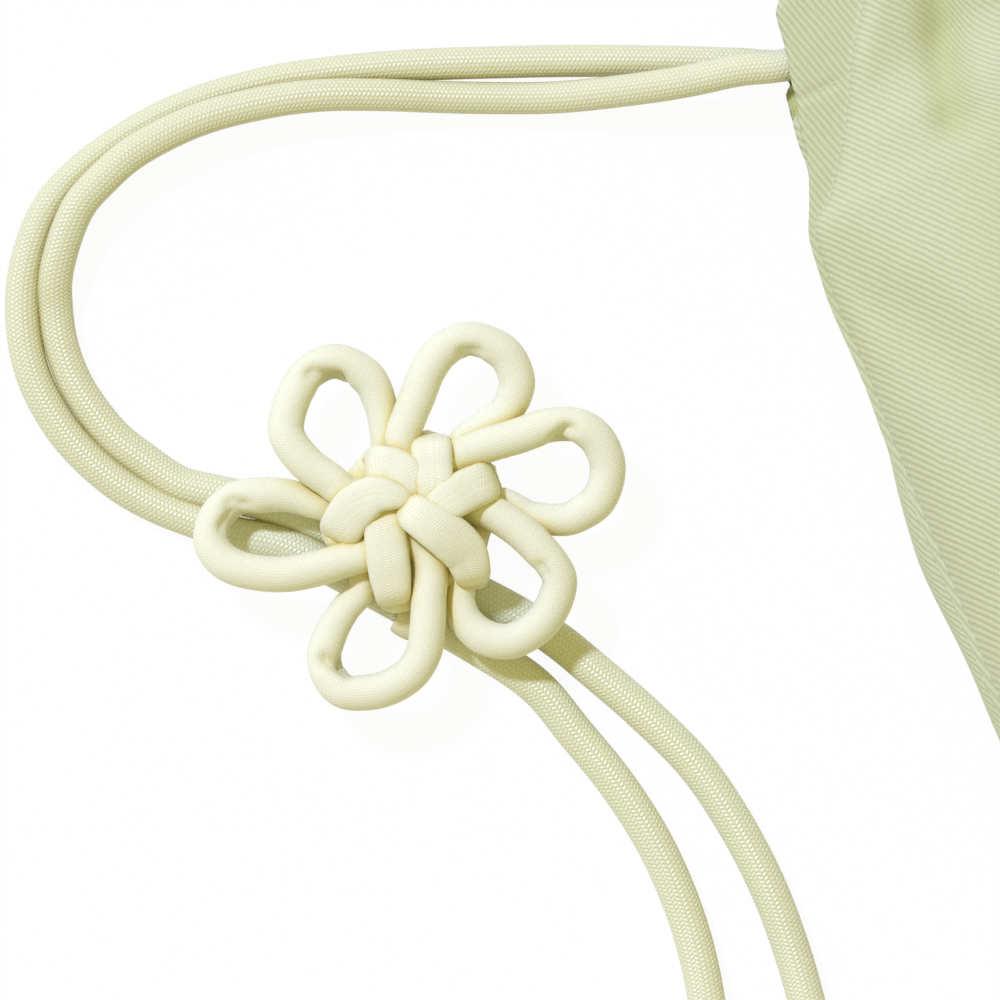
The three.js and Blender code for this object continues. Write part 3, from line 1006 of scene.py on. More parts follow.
FRONT_ROUTE: list[Point3] = [
    (-8, -1, 11.8), (-17.3, -2.9, 9.2), (-28, -4.4, 6.6), (-38.7, -5.4, 4.3), (-48, -5.5, 3.2),
    (-58.3, -5.3, 3.6), (-67.3, -5, 5), (-78, -5.1, 6), (-87.6, -6.4, 6.3), (-98.7, -9.4, 6.5),
    (-109, -14.7, 6.5), (-114, -19, 6.2), (-118.2, -23.9, 5.7), (-121.8, -34.5, 4.1),
    (-121.9, -40.8, 2.5), (-121, -46.7, 2.3), (-118.8, -52.7, 2.3), (-115.5, -57.9, 2.3),
    (-111.8, -62.2, 2.3), (-107.1, -65.9, 2.3), (-101.3, -69.7, 2.4), (-96.4, -71, 2.6),
    (-91.2, -72.1, 2.9), (-83.7, -74, 3.5), (-73.7, -78, 3.9), (-64.5, -82.3, 3.9), (-49.2, -89.2, 3.4),
    (-39.2, -95.2, 2.5), (-32, -101, 2.3), (-23.5, -108.4, 2.3), (-15.2, -116.8, 2.3),
    (-8.9, -126, 2.3), (-3.2, -136.9, 2.3), (0.8, -147.5, 2.3), (3.2, -155.8, 3.2),
    (5.2, -164.5, 5.4), (6.4, -172.5, 5.6),
]


@dataclass
class Drawstring:
    """The braided cord: two free strands with a knot at each end, and the stretch that the hem holds.

    An end knot is an overhand curve over a turn value, scaled by its flat and its rise. Its tail is given in
    millimetres along the strand, across it and up, and it is drawn to shares of the width and thickness.
    """

    wardrobe: Wardrobe
    width: float = 5.9 * MM
    widths: Table = ((0, 5.4), (60, 5.4), (125, 5.7), (200, 6.0), (300, 6.3), (338, 6.2), (349, 5.1))
    thickness: float = 4.5 * MM
    stub: float = 42.5 * MM
    hidden: float = 8 * MM
    step: float = 1.2 * MM
    sides: int = 32
    exit_height: dict[Side, float] = field(
        default_factory=lambda: {Side.FRONT: 13.2 * MM, Side.BACK: 4.2 * MM}
    )
    routes: dict[Side, list[Point3]] = field(
        default_factory=lambda: {Side.FRONT: FRONT_ROUTE, Side.BACK: BACK_ROUTE}
    )
    end_stations: int = 4
    knot_turns: int = 11
    knot_first_turn: float = -1.85
    knot_turn_step: float = 0.37
    knot_flat: float = 1.55 * MM
    knot_rise: float = 0.27 * MM
    knot_shift: float = 1.2
    knot_middle: float = 6.5 * MM
    knot_lead: float = 1.6 * MM
    knot_tail: tuple[Point3, ...] = ((12.5, 0.6, 0.0), (21.0, 0.0, -1.2))
    knot_drawn: Point2 = (0.86, 0.9)
    hem_steps: int = 16
    turn_reach: float = 94 * MM
    turn_degrees: tuple[int, ...] = (60, 30, 0, -30, -60)
    mouth_arch: float = 12 * MM
    # How far another surface still adds to the painted shade.
    painted_shade_reach: float = 6 * MM

    def build(self) -> None:
        """Makes both strands, their end knots and the cord in the hem."""
        front, back = (self._strand(side) for side in Side)
        # Painted shade on each strand where the other one closes it in.
        mark_painted_shade(front, [back], self.painted_shade_reach)
        mark_painted_shade(back, [front], self.painted_shade_reach)
        self._hem_run()

    def _route(self, points: Sequence[Vector]) -> list[Station]:
        """Close stations along a route, whose width changes as the cord flattens."""
        widths = [between(self.widths, reach / MM) * MM for reach in reaches(points)]
        return smooth_stations(level_sides(points, widths, self.thickness), self.step, False)

    def _strand(self, side: Side) -> bpy.types.Object:
        """One free strand, with its straight stub in the hem as a piece of its own.

        Args:
            side: Which strand.

        Returns:
            The strand from the hem to its end knot.
        """
        exit_point = CORD_EXIT + UP * self.exit_height[side]
        stub = [exit_point + Vector((reach, 0, 0)) for reach in (self.stub, self.stub / 2, self.hidden)]
        inner = self._route(stub)
        outer = self._route([stub[-1], exit_point, *(laid(*p) for p in self.routes[side])])
        sleeve = sweep(f"{side.value}_strand_in_hem", inner, self.sides, False)
        strand = sweep(f"{side.value}_strand_braid", outer, self.sides, False, self.stub - self.hidden)
        self.wardrobe.dress(sleeve, Slot.BRAID, Body.DRAWSTRING)
        self.wardrobe.dress(strand, Slot.BRAID, Body.DRAWSTRING, f"{side.value}_strand")
        knot = self._end_knot(side, outer)
        path = [station.centre for station in outer]
        reaches(path)[-1]
        return strand

    def _end_knot(self, side: Side, strand: Sequence[Station]) -> bpy.types.Object:
        """An overhand knot with a short end, on the line of the strand.

        Args:
            side: Which strand.
            strand: The strand's stations.

        Returns:
            The knot.
        """
        last = strand[-1].centre
        along = (last - strand[-self.end_stations].centre).normalized()
        along = (along - UP * along.dot(UP)).normalized()
        across = UP.cross(along)
        route: list[Point3] = [(0.0, 0.0, 0.0), (self.knot_lead, 0.0, 0.0)]
        for i in range(self.knot_turns):
            t = self.knot_first_turn + self.knot_turn_step * i
            x = (t**3 - 3 * t) * self.knot_flat + self.knot_middle
            y = (t**4 - 4 * t * t + self.knot_shift) * self.knot_flat
            route.append((x, y, (t**5 - 10 * t) * self.knot_rise))
        route += [(x * MM, y * MM, z * MM) for x, y, z in self.knot_tail]
        points = [last + along * x + across * y + UP * z for x, y, z in route]
        widths = [self.width * self.knot_drawn[0]] * len(points)
        drawn = level_sides(points, widths, self.thickness * self.knot_drawn[1])
        knot = sweep(f"{side.value}_end_knot", smooth_stations(drawn, self.step, False), self.sides, False)
        return self.wardrobe.dress(knot, Slot.BRAID, Body.DRAWSTRING, f"{side.value}_tail_knot")

    def _hem_run(self) -> None:
        """The cord that the hem holds: along the front channel, round in the right slit and back."""
        front, back = self.exit_height[Side.FRONT], self.exit_height[Side.BACK]
        inner = CORD_EXIT.x + self.stub
        middle, turn = (front + back) / 2, (front - back) / 2
        edge = self.turn_reach - turn - self.thickness / 2

        def arch(x: float) -> float:
            """Rise of the front hem's mouth."""
            return self.mouth_arch * math.cos(math.pi / 2 * min(1.0, abs(x / inner))) ** 2

        ahead = [inner + (edge - inner) * i / self.hem_steps for i in range(self.hem_steps + 1)]
        points = [Vector((x, CORD_EXIT.y, front + (arch(x) if x < -inner else 0.0))) for x in ahead]
        for degrees in self.turn_degrees:
            a = math.radians(degrees)
            points.append(Vector((edge + turn * math.cos(a), CORD_EXIT.y, middle + turn * math.sin(a))))
        points += [Vector((x, CORD_EXIT.y, back)) for x in reversed(ahead)]
        half = self.widths[0][1] / 2 * MM
        stations = [Station(p, Vector((0, 1, 0)), half, self.thickness / 2) for p in points]
        run = sweep("hem_run_braid", smooth_stations(stations, self.step, False), self.sides, False)
        self.wardrobe.dress(run, Slot.BRAID, Body.BAG, "drawstring_hem_run")


@dataclass(frozen=True)
class Petal:
    """One petal's share of the knot's cord, in its order, in millimetres about the knot's middle.

    The cord passes behind the petal's first leg, rises through its hole, folds over, runs to the middle as a
    flat lobe, turns under there and goes round the petal. The lobe sinks by its droop from the middle to its
    fold.
    """

    under: Table
    lobe: Table
    lobe_widths: tuple[float, ...]
    lobe_top: float
    droop: float
    legs: Table


PETALS = (
    Petal(
        under=((-9.6, -0.4), (-8.4, 3.2)),
        lobe=((-5.2, 6.1), (-4.5, 6.1), (-2.4, 5.7), (0.1, 4.5), (1.7, 2.6)),
        lobe_widths=(6.8, 7.0, 7.0, 6.4, 5.0),
        lobe_top=6.6,
        droop=1.2,
        legs=(
            (-10.2, 1.8), (-13, 3.8), (-17, 6.8), (-20, 11), (-20.2, 13.3), (-18.7, 18.3), (-16.3, 21.7),
            (-12, 23.5), (-6.8, 21), (-4.5, 16.3), (-3.7, 11), (-3.5, 8),
        ),
    ),
    Petal(
        under=((-1.4, 8.2), (2.2, 9.2)),
        lobe=((4.0, 9.4), (4.0, 8.6), (4.1, 6.0), (4.4, 3.2), (4.2, 1.0)),
        lobe_widths=(6.8, 7.0, 7.0, 6.6, 5.0),
        lobe_top=7.0,
        droop=1.4,
        legs=(
            (-0.9, 10.2), (0.3, 14.4), (1.6, 17.6), (3.5, 22.3), (6, 25.5), (10.3, 27.2), (16, 25),
            (18.2, 20.5), (17.7, 17.8), (16.2, 15.2), (12.3, 12.5), (9, 10.2),
        ),
    ),
    Petal(
        under=((8.4, 7.6), (11.2, 5.6)),
        lobe=((13.1, 3.5), (12.3, 3.2), (9.6, 2.0), (6.6, 0.2), (4.0, -1.4)),
        lobe_widths=(6.4, 7.0, 7.2, 6.8, 5.0),
        lobe_top=7.7,
        droop=2.6,
        legs=(
            (7.4, 7), (12, 9.2), (18.5, 11.2), (22.2, 12.5), (25.5, 13), (28.7, 12.7), (31.2, 11),
            (32.7, 8.5), (33.3, 6), (32.8, 2.7), (31.5, 0.2), (29.5, -1.3), (26.5, -2.7), (20.5, -2.2),
            (15.3, 0.3),
        ),
    ),
    Petal(
        under=((13.0, -1.5), (11.0, -6.5)),
        lobe=((10.7, -12.3), (10.6, -11.2), (9.5, -8.3), (7.3, -6.0), (4.2, -3.7), (1.0, -1.6)),
        lobe_widths=(5.2, 6.4, 7.6, 7.8, 7.4, 6.4),
        lobe_top=8.4,
        droop=4.6,
        legs=(
            (11.7, -0.8), (16.7, -3.2), (20.8, -6.5), (24, -10.3), (25.2, -12.8), (24.3, -16.8),
            (21.7, -20.5), (17, -23), (12.5, -22.2), (9.7, -19.5), (8.7, -16.2), (8.7, -12),
        ),
    ),
    Petal(
        under=((6.4, -12), (0.0, -15.5)),
        lobe=((-2.4, -15.5), (-2.5, -14.6), (-2.9, -12.0), (-3.4, -8.0), (-4.0, -1.8)),
        lobe_widths=(5.8, 6.2, 7.0, 7.4, 6.8),
        lobe_top=5.7,
        droop=2.0,
        legs=(
            (3.5, -9.5), (3.5, -16.2), (3.3, -20.8), (2.7, -24.8), (0.7, -28.2), (-2.7, -30.5),
            (-6.3, -31.5), (-10.7, -31.2), (-13, -28.8), (-13.8, -25.3), (-12.7, -21.5),
            (-10.5, -17.8), (-7.7, -14.5),
        ),
    ),
    Petal(
        under=((-7.6, -10.4), (-10.5, -6.8)),
        lobe=((-11.4, -4.9), (-10.9, -4.0), (-8.7, -0.9), (-5.2, 1.3), (-0.8, 0.9)),
        lobe_widths=(6.2, 7.4, 7.8, 6.6, 3.6),
        lobe_top=7.4,
        droop=3.0,
        legs=(
            (-7, -8.3), (-10.5, -9.5), (-15.5, -11), (-19.7, -11.8), (-24.3, -11.7), (-28.7, -10.7),
            (-31.3, -9), (-32.7, -6.2), (-31.7, -2.2), (-28.8, 0.5), (-24.3, 1.3), (-19.7, 1.2),
            (-15, -0.2), (-10.5, -1.2),
        ),
    ),
)


class Crease(NamedTuple):
    """A buckle of the knot's tube: its line about the knot's middle, its depth and width, in millimetres."""

    line: Table
    deep: float
    wide: float


CREASES = (
    Crease(((-15.8, 21.9), (-13.6, 20.9), (-11.8, 20.3)), 1.5, 1.5),
    Crease(((9.4, 25.0), (11.6, 25.0)), 0.8, 1.2),
    Crease(((26.8, 12.2), (25.2, 10.4)), 1.6, 1.4),
    Crease(((22.2, -10.8), (22.8, -12.0)), 0.9, 1.2),
    Crease(((-13.8, -26.2), (-10.2, -27.2)), 1.5, 1.4),
    Crease(((-29.2, 0.4), (-27.4, -0.6)), 1.3, 1.5),
    Crease(((-30.4, -3.8), (-29.2, -2.2)), 1.1, 1.4),
)


@dataclass
class FlowerKnot:
    """The flower knot as one closed tube of knit cord, and the band on its back round the strands.

    Sizes without MM are millimetres. A lobe starts at its fold in the petal's hole and ends at its turn,
    where the cord goes under the knot's middle. Both drop below the lobe's top.
    """

    wardrobe: Wardrobe
    middle: Point2 = (-63.2, -73.0)
    base: float = 9.6
    base_radius: float = 2.35
    petal_radius: float = 3.0
    leg_height: float = 3.2
    leg_fall: Point2 = (0.15, 0.85)
    leg_radius: Point2 = (2.9, 2.3)
    leg_swell: Point2 = (2, 3)
    lobe_thickness: float = 2.0
    lobe_edge: float = 3.2
    droop_power: float = 1.3
    fold_drop: float = 2.0
    fold_rise: float = 0.3
    fold_back: float = 0.2
    fold_narrow: float = 0.9
    turn_radius: float = 1.7
    turn_dip: float = 0.5
    turn_drop: float = 3.0
    turn_ahead: float = 1.3
    turn_away: float = 0.35
    crease_reach: float = 2.5
    crease_facing: float = -0.3
    # How far another surface still adds to the painted shade.
    painted_shade_reach: float = 7 * MM
    step: float = 0.5 * MM
    sides: int = 40
    keeper_middle: Point2 = (-60.7, -87.9)
    keeper_angle: float = math.radians(-26.4)
    keeper_band: float = 1.1
    keeper_length: float = 4.4
    keeper_room: Point2 = (14.6, 5.6)
    keeper_steps: int = 8
    keeper_sides: int = 16
    # Least share of painted shade on the keeper band, which darkens it as if it lay in the knot's shadow.
    keeper_shade: float = 0.3

    def build(self) -> None:
        """Makes the knot and its keeper."""
        stations = smooth_stations(self._stations(), self.step, True)
        knot = sweep("flower_knot_knit", stations, self.sides, True)
        self._crease(knot)
        self.wardrobe.dress(knot, Slot.KNIT, Body.FLOWER, "flower_knot")
        keeper = self._keeper()
        # Painted shade where the knot and its keeper close each other in.
        mark_painted_shade(knot, [keeper], self.painted_shade_reach)
        mark_painted_shade(keeper, [knot], self.painted_shade_reach, self.keeper_shade)

    def _at(self, place: Point2, height: float) -> Vector:
        """A point about the knot's middle, in the frame."""
        return laid(self.middle[0] + place[0], self.middle[1] + place[1], self.base + height)

    def _stations(self) -> list[Station]:
        """The listed stations of the whole cord, petal after petal.

        Returns:
            The stations, in the order of the cord.
        """
        made: list[Station] = []
        for petal in PETALS:
            for place in petal.under:
                made.append(self._round(place, 0.0, self.base_radius))
            made += self._lobe(petal)
            ends = len(petal.legs) - 1
            for i, place in enumerate(petal.legs):
                share = ease(i / ends, *self.leg_fall)
                first = mix(self.leg_radius[0], self.petal_radius, min(1.0, i / self.leg_swell[0]))
                radius = mix(self.leg_radius[1], first, min(1.0, (ends - i) / self.leg_swell[1]))
                made.append(self._round(place, self.leg_height * (1 - share), radius))
        for station, along in zip(made, tangents(made, True)):
            if station.side == UP:
                station.side = along.cross(UP).normalized()
        return made

    def _round(self, place: Point2, height: float, radius: float) -> Station:
        """A round station, whose wide axis is set later from the curve."""
        return Station(self._at(place, height), UP, radius * MM, radius * MM)

    def _band(self, place: Vector, height: float, inward: Vector, width: float) -> Station:
        """A flat station of a lobe.

        Args:
            place: Its place about the knot's middle.
            height: Its height above the cord's lowest pass.
            inward: The lobe's direction there, in the knot's plane.
            width: Its width.

        Returns:
            The station.
        """
        side = turned(inward).cross(UP).normalized()
        centre = self._at((place.x, place.y), height)
        return Station(centre, side, width / 2 * MM, self.lobe_thickness * MM, self.lobe_edge)

    def _lobe(self, petal: Petal) -> list[Station]:
        """The flat band over the knot, from its fold in the petal's hole to its turn at the middle.

        Args:
            petal: The petal that the lobe lies over.

        Returns:
            The lobe's stations, with those of its fold and its turn.
        """
        places = [Vector((*p, 0)) for p in petal.lobe]
        last = len(places) - 1
        top = petal.lobe_top
        inward = (places[1] - places[0]).normalized()
        outer = places[0] - inward * self.fold_back
        height = self.fold_rise * (top - petal.droop - self.fold_drop)
        made = [self._band(outer, height, inward, petal.lobe_widths[0] * self.fold_narrow)]
        for i, place in enumerate(places):
            inward = (places[min(i + 1, last)] - places[max(i - 1, 0)]).normalized()
            sunk = petal.droop * (max(0, last - 1 - i) / (last - 2)) ** self.droop_power
            ends = {0: self.fold_drop, last: self.turn_dip}.get(i, 0.0)
            made.append(self._band(place, top - sunk - ends, inward, petal.lobe_widths[i]))
        inner = places[-1] + inward * self.turn_ahead
        made.append(self._round((inner.x, inner.y), top - self.turn_drop, self.turn_radius))
        made[-1].side = made[-2].side
        under = inner.lerp(Vector((*petal.legs[0], 0)), self.turn_away)
        made.append(self._round((under.x, under.y), self.leg_height, self.turn_radius))
        return made

    def _crease(self, knot: bpy.types.Object) -> None:
        """Presses the narrow creases into the petals' bends, where the tube buckles.

        Args:
            knot: The knot's tube.
        """
        mesh = knot.data
        normals = [normal.vector.copy() for normal in mesh.vertex_normals]
        for crease in CREASES:
            stretch = [tuple(self._at(p, 0.0).to_2d() / MM) for p in crease.line]
            for vertex, normal in zip(mesh.vertices, normals):
                away = stroke_distance(tuple(vertex.co.to_2d() / MM), stretch) / crease.wide
                if away < self.crease_reach and normal.z > self.crease_facing:
                    vertex.co -= normal * (crease.deep * MM * math.exp(-away * away))
        mesh.update()

    def _keeper(self) -> bpy.types.Object:
        """A flat band round both strands, under the knot's middle.

        Returns:
            The band.
        """
        round_end = self.keeper_room[1] / 2 + self.keeper_band / 2
        half = self.keeper_room[0] / 2 - self.keeper_room[1] / 2
        height = self.keeper_band + self.keeper_room[1] / 2
        outline: list[Point2] = []
        for centre, first in ((half, -90), (-half, 90)):
            for i in range(self.keeper_steps + 1):
                a = math.radians(first + 180 * i / self.keeper_steps)
                outline.append((centre + round_end * math.cos(a), height + round_end * math.sin(a)))
        across = Vector((-math.sin(self.keeper_angle), math.cos(self.keeper_angle), 0))
        lengthwise = turned(Vector((math.cos(self.keeper_angle), math.sin(self.keeper_angle), 0)))
        wide, thick = self.keeper_length / 2 * MM, self.keeper_band / 2 * MM
        stations: list[Station] = []
        for reach, z in outline:
            place = Vector((*self.keeper_middle, 0)) + across * reach
            stations.append(Station(laid(place.x, place.y, z), lengthwise, wide, thick))
        smooth = smooth_stations(stations, self.step, True)
        band = sweep("keeper_band_knit", smooth, self.keeper_sides, True)
        return self.wardrobe.dress(band, Slot.KNIT, Body.FLOWER, "knot_keeper_loop")


class Fold(NamedTuple):
    """A valley of the front: its line over distance from the left hem end and depth, and its form; its tone
    is the share of painted shade along its bottom.
    """

    line: Table
    deep: float
    wide: float
    # Share of painted shade along the valley's bottom.
    tone: float


# Each fold: line, depth, width, and the share of painted shade along its bottom.
LEFT_FOLDS = (
    Fold(((31, -14), (29, -5), (27, 3), (23.5, 11), (21, 20)), 2.8, 3.6, 0.5),
    Fold(((-9.5, 35), (0, 47), (8, 66), (14, 86)), 2.2, 7.0, 0.1),
    Fold(((26, 30), (22, 48), (24, 66)), 1.4, 8.0, 0.2),
)
RIGHT_FOLDS = (
    Fold(((141, -5), (143, 3), (147, 12), (149, 24)), 2.4, 3.6, 0.4),
    Fold(((178, 37), (168, 52), (160, 74)), 2.0, 7.0, 0.1),
)
# The lower part that the front's three crown tables share.
CROWN_END: Table = ((130, 31.8), (160, 20.9), (185, 9.0), (200, 1.4))
Weave = Callable[[int, int, int], Point2]
Height = Callable[[float, float], float]


@dataclass
class Bag:
    """The twill bag: a front and a back sheet with turned hems, stitched below the cord.

    Sizes without MM are millimetres, and depth is the distance below the cord, from the brim at -16 to the
    bottom seam at 200. A table gives a size over depth. A pair named from or until is where a form starts to
    grow or to fade, and where it has done so.
    """

    wardrobe: Wardrobe
    hem_half: float = 85.0
    hem_above: float = 16.0
    hem_level: float = 17.5
    bottom: float = 200.0
    arch: float = 12.0
    cloth: float = 0.8 * MM
    row_runs: tuple[tuple[float, float, int], ...] = ((-16.0, 0.7, 40), (12, 1.25, 46), (69.5, 2.61, 51))
    turned_rows: int = 21
    turned_step: float = 1.2
    brim_degrees: tuple[int, ...] = (-50, 0, 50)
    lip_gap: float = 1.3
    strip_least: float = 1.2
    strip_turn: float = math.radians(30)
    strip_columns: int = 12
    main_columns: int = 64
    weave_turn: float = math.radians(5)
    channel_level: float = 10.6
    channel_from: Point2 = (-16, -11)
    channel_until: Point2 = (2.5, 6.5)
    inner_gap: float = 1.5
    inner_from: Point2 = (-2, 4)
    inner_narrow: float = 0.02
    narrow_from: Point2 = (-14, -4)
    pleat: float = 3.4
    pleat_width: float = 1.3
    pleat_from: Point2 = (-18, -8)
    brim_drop: float = 1.4
    brim_from: Point2 = (9, 16)
    body_from: Point2 = (5, 17)
    far_from: Point2 = (-30, 10)
    middle_from: Point2 = (0.35, 0.75)
    fold_from: Point2 = (-1, 6)
    fold_reach: float = 3.0
    gathers: int = 7
    gather_first: float = 46.0
    gather_pitch: float = 15.5
    gather_reach: Point2 = (26, 22)
    gather_spread: float = 0.618
    gather_lean: float = 6.0
    gather_beat: float = 2.4
    gather_top: float = -2.0
    gather_knee: Point2 = (0.4, 10)
    # Depth, width and share of painted shade of each gather fold.
    gather_form: Point3 = (2.4, 4.2, 0.25)
    shift_until: Point2 = (8, 28)
    # Depths where the back sheet is painted with shade inside the slit, and how far that shade fades at each
    # end.
    slit: Point2 = (4.2, 8.3)
    slit_shade_fade: float = 0.4
    slit_gap: float = 0.3
    slit_from: Point2 = (4.0, 5.4)
    slit_until: Point2 = (8, 9.4)
    stitch_depth: float = 6.2
    stitch_pitch: float = 2.4
    stitch_share: float = 0.72
    stitch_radius: float = 0.16
    stitch_tip: float = 0.02
    stitch_rings: int = 5
    stitch_sides: int = 6
    stitch_margin: float = 2.0
    stitch_tuck: float = 1.0
    groove: float = 0.35
    groove_width: float = 0.7
    groove_until: Point2 = (-2.6, -1.0)
    arc_columns: int = 22
    flat_columns: int = 30
    mouth_in: float = 1.0
    mouth_until: Point2 = (1, 5)
    back_inset: float = 3.0
    inset_from: Point2 = (-6, 2)
    seam_from: Point2 = (2.5, 6.5)
    inner_seam_from: Point2 = (6, 14)
    seam_under: float = 0.7
    seam_edge: Point2 = (0.3, -0.8)
    seam_lip: float = 0.3
    rim_from: Point2 = (172, 200)
    drawn_in: Point2 = (2, 17)
    bulge_power: float = 0.7
    shoulder_power: float = 1.6
    welt_power: int = 3
    back_gap: Table = ((-16, 1.3), (-11, 6.6), (2.5, 6.6), (6.5, 1.3), (8, 1.2))
    side_out: Table = (
        (-16, -5.0), (-10.4, -3.2), (-8.4, -1.7), (-3.3, -0.8), (0, 0), (10.7, 2.6), (15, 3.5), (22, 6.3),
        (28, 9.1), (33, 9.9), (40, 10.7), (53, 11.0), (62, 11.7), (90, 12.9), (114, 14.0), (140, 14.2),
        (165, 13.0), (185, 9.5), (200, 2.0),
    )
    back_bulge: Table = (
        (-16, 0), (50, 0), (63, 0.3), (73, 2.4), (86, 3.9), (106, 2.4), (117, 2.6), (145, 2.8), (175, 1.6),
        (200, 0),
    )
    welt: Table = ((2.5, 0), (4.6, 1.2), (8.6, 1.15), (13.7, 0.95), (16.5, 0.3), (19, 0))
    welt_drop: Table = ((3.2, 0), (4.6, 6.5), (7.2, 6.5), (9.2, 0.7), (16, 0.5), (22, 0))
    edge_level: Table = (
        (-16, 17.5), (15, 17.4), (28, 17.0), (60, 17.2), (100, 18.0), (140, 16.4), (170, 13.2), (200, 8.8),
    )
    side_crown: Table = (
        (-16, 1.2), (-8, 3.5), (0, 7.0), (8, 10.5), (16, 14.0), (30, 20.0), (60, 30.5), (88, 37.0),
        *CROWN_END,
    )
    far_crown: Table = (
        (-16, 1.2), (-8, 4.0), (0, 8.0), (8, 14.0), (16, 21.0), (30, 29.0), (60, 35.5), (88, 38.0),
        *CROWN_END,
    )
    middle_crown: Table = (
        (-16, 1.2), (-8, 5.0), (0, 12.0), (8, 22.0), (15, 28.5), (30, 32.6), (60, 36.6), (88, 38.0),
        *CROWN_END,
    )
    ridge: Table = (
        (-16, 21.0), (-4.5, 16.0), (3.7, 9.9), (9.6, 6.7), (16.8, 1.9), (23.4, -3.6), (28, -9.0),
    )
    gather_line: Table = ((-16, 31.5), (-5, 29.0), (3, 27.0), (11, 23.5), (20, 21.0))
    gather_shift: Table = ((-6, 0), (0, 2.4), (5, 6.6), (9, 7.2), (28, 1.0), (38, 0))
    folds: list[Fold] = field(default_factory=list)

    def build(self) -> None:
        """Makes both sheets and the stitches."""
        self.folds = [*LEFT_FOLDS, *self._gathers(), *RIGHT_FOLDS]
        self._front()
        self._back()
        self._stitches()

    def _half(self, depth: float) -> float:
        """Half width of the bag at the side seam."""
        return self.hem_half + between(self.side_out, depth)

    def _rows(self) -> list[float]:
        """Depths of the rows of a sheet, closest round the hem's stitches."""
        return [start + step * i for start, step, count in self.row_runs for i in range(count)]

    def _turned_depths(self) -> list[float]:
        """Depths of the rows of a turned-in hem, from its inner edge up to the brim."""
        return [self.turned_step * i - self.hem_above for i in reversed(range(self.turned_rows))]

    def _gathers(self) -> list[Fold]:
        """The row of short folds below the hem, each of its own length and lean.

        Returns:
            The folds, from left to right.
        """
        folds: list[Fold] = []
        for i in range(self.gathers):
            x = self.gather_first + self.gather_pitch * i
            reach = self.gather_reach[0] + self.gather_reach[1] * ((i * self.gather_spread) % 1)
            lean = self.gather_lean * math.sin(self.gather_beat * i)
            share, knee = self.gather_knee
            line = ((x, self.gather_top), (x + lean * share, knee), (x + lean, knee + reach))
            folds.append(Fold(line, *self.gather_form))
        return folds

    def _ridge_at(self, depth: float) -> float:
        """Distance of the slanting ridge from the line of the hem's end."""
        least = self.strip_least - between(self.side_out, depth)
        return max(between(self.ridge, depth), least) if depth < self.ridge[-1][0] else least

    def _arch(self, x: float) -> float:
        """Rise of the mouth in the middle of the front hem."""
        return self.arch * math.cos(math.pi / 2 * min(1.0, abs(2 * x / self.hem_half))) ** 2

    def _columns(self, depth: float) -> list[float]:
        """Places across one row of the front: a strip beside the slit, the main part, and the other strip.

        Args:
            depth: The row's depth.

        Returns:
            Places from the left side to the right one.
        """
        slit = self.slit_gap * ease(depth, *self.slit_from) * (1 - ease(depth, *self.slit_until))
        edge, start = self.hem_half - self._half(depth) + slit, self._ridge_at(depth)
        near = [mix(edge, start, j / self.strip_columns) for j in range(self.strip_columns)]
        for j in range(self.main_columns + 1):
            near.append(mix(start, self.hem_half, 1 - math.cos(math.pi / 2 * j / self.main_columns)))
        left = [place - self.hem_half for place in near]
        return left + [-x for x in reversed(left[:-1])]

    def _front_height(self, x: float, depth: float) -> float:
        """Height of the front sheet's outside.

        Args:
            x: Place across the bag, from its middle.
            depth: Depth of the place.

        Returns:
            The height above the floor.
        """
        start = self._ridge_at(depth)
        inside = self.hem_half - abs(x) - start
        share = min(1.0, max(0.0, inside / (self.hem_half - start)))
        side = mix(between(self.side_crown, depth), between(self.far_crown, depth), ease(x, *self.far_from))
        crown = mix(side, between(self.middle_crown, depth), ease(share, *self.middle_from))
        body = between(self.edge_level, depth) + crown * math.sqrt(1 - (1 - share) ** 2)
        puffed = 1 - math.exp(-max(0.0, inside) / self.pleat_width)
        pleat = self.pleat * puffed * ease(depth, *self.pleat_from)
        hem = self.hem_level + self._arch(x) + pleat - self.brim_drop * ease(-depth, *self.brim_from)
        z = mix(hem, body, ease(depth, *self.body_from))
        valley = sum(deep * near for deep, _, near in self._fold_shares(x, depth))
        z -= valley * ease(inside, *self.fold_from)
        groove = math.exp(-(((depth - self.stitch_depth) / self.groove_width) ** 2))
        return z - self.groove * groove * (1 - ease(inside, *self.groove_until))

    def _fold_shares(self, x: float, depth: float) -> list[Point3]:
        """The folds near a place of the front.

        Args:
            x: Place across the bag, from its middle.
            depth: Depth of the place.

        Returns:
            Depth and tone of each fold, with its share there.
        """
        at = (x + self.hem_half, depth)
        shares: list[Point3] = []
        for fold in self.folds:
            away = stroke_distance(at, fold.line) / fold.wide
            if away < self.fold_reach:
                shares.append((fold.deep, fold.tone, math.exp(-away * away)))
        return shares

    def _turned_height(self, x: float, depth: float) -> float:
        """Height of the part of the front that is turned in under the cord.

        Args:
            x: Place across the bag, from its middle.
            depth: Depth of the place.

        Returns:
            The height above the floor.
        """
        channel = ease(depth, *self.channel_from) * (1 - ease(depth, *self.channel_until))
        gap = self.lip_gap + self.inner_gap * ease(depth, *self.inner_from)
        return mix(self._front_height(x, depth) - gap, self.channel_level + self._arch(x), channel)

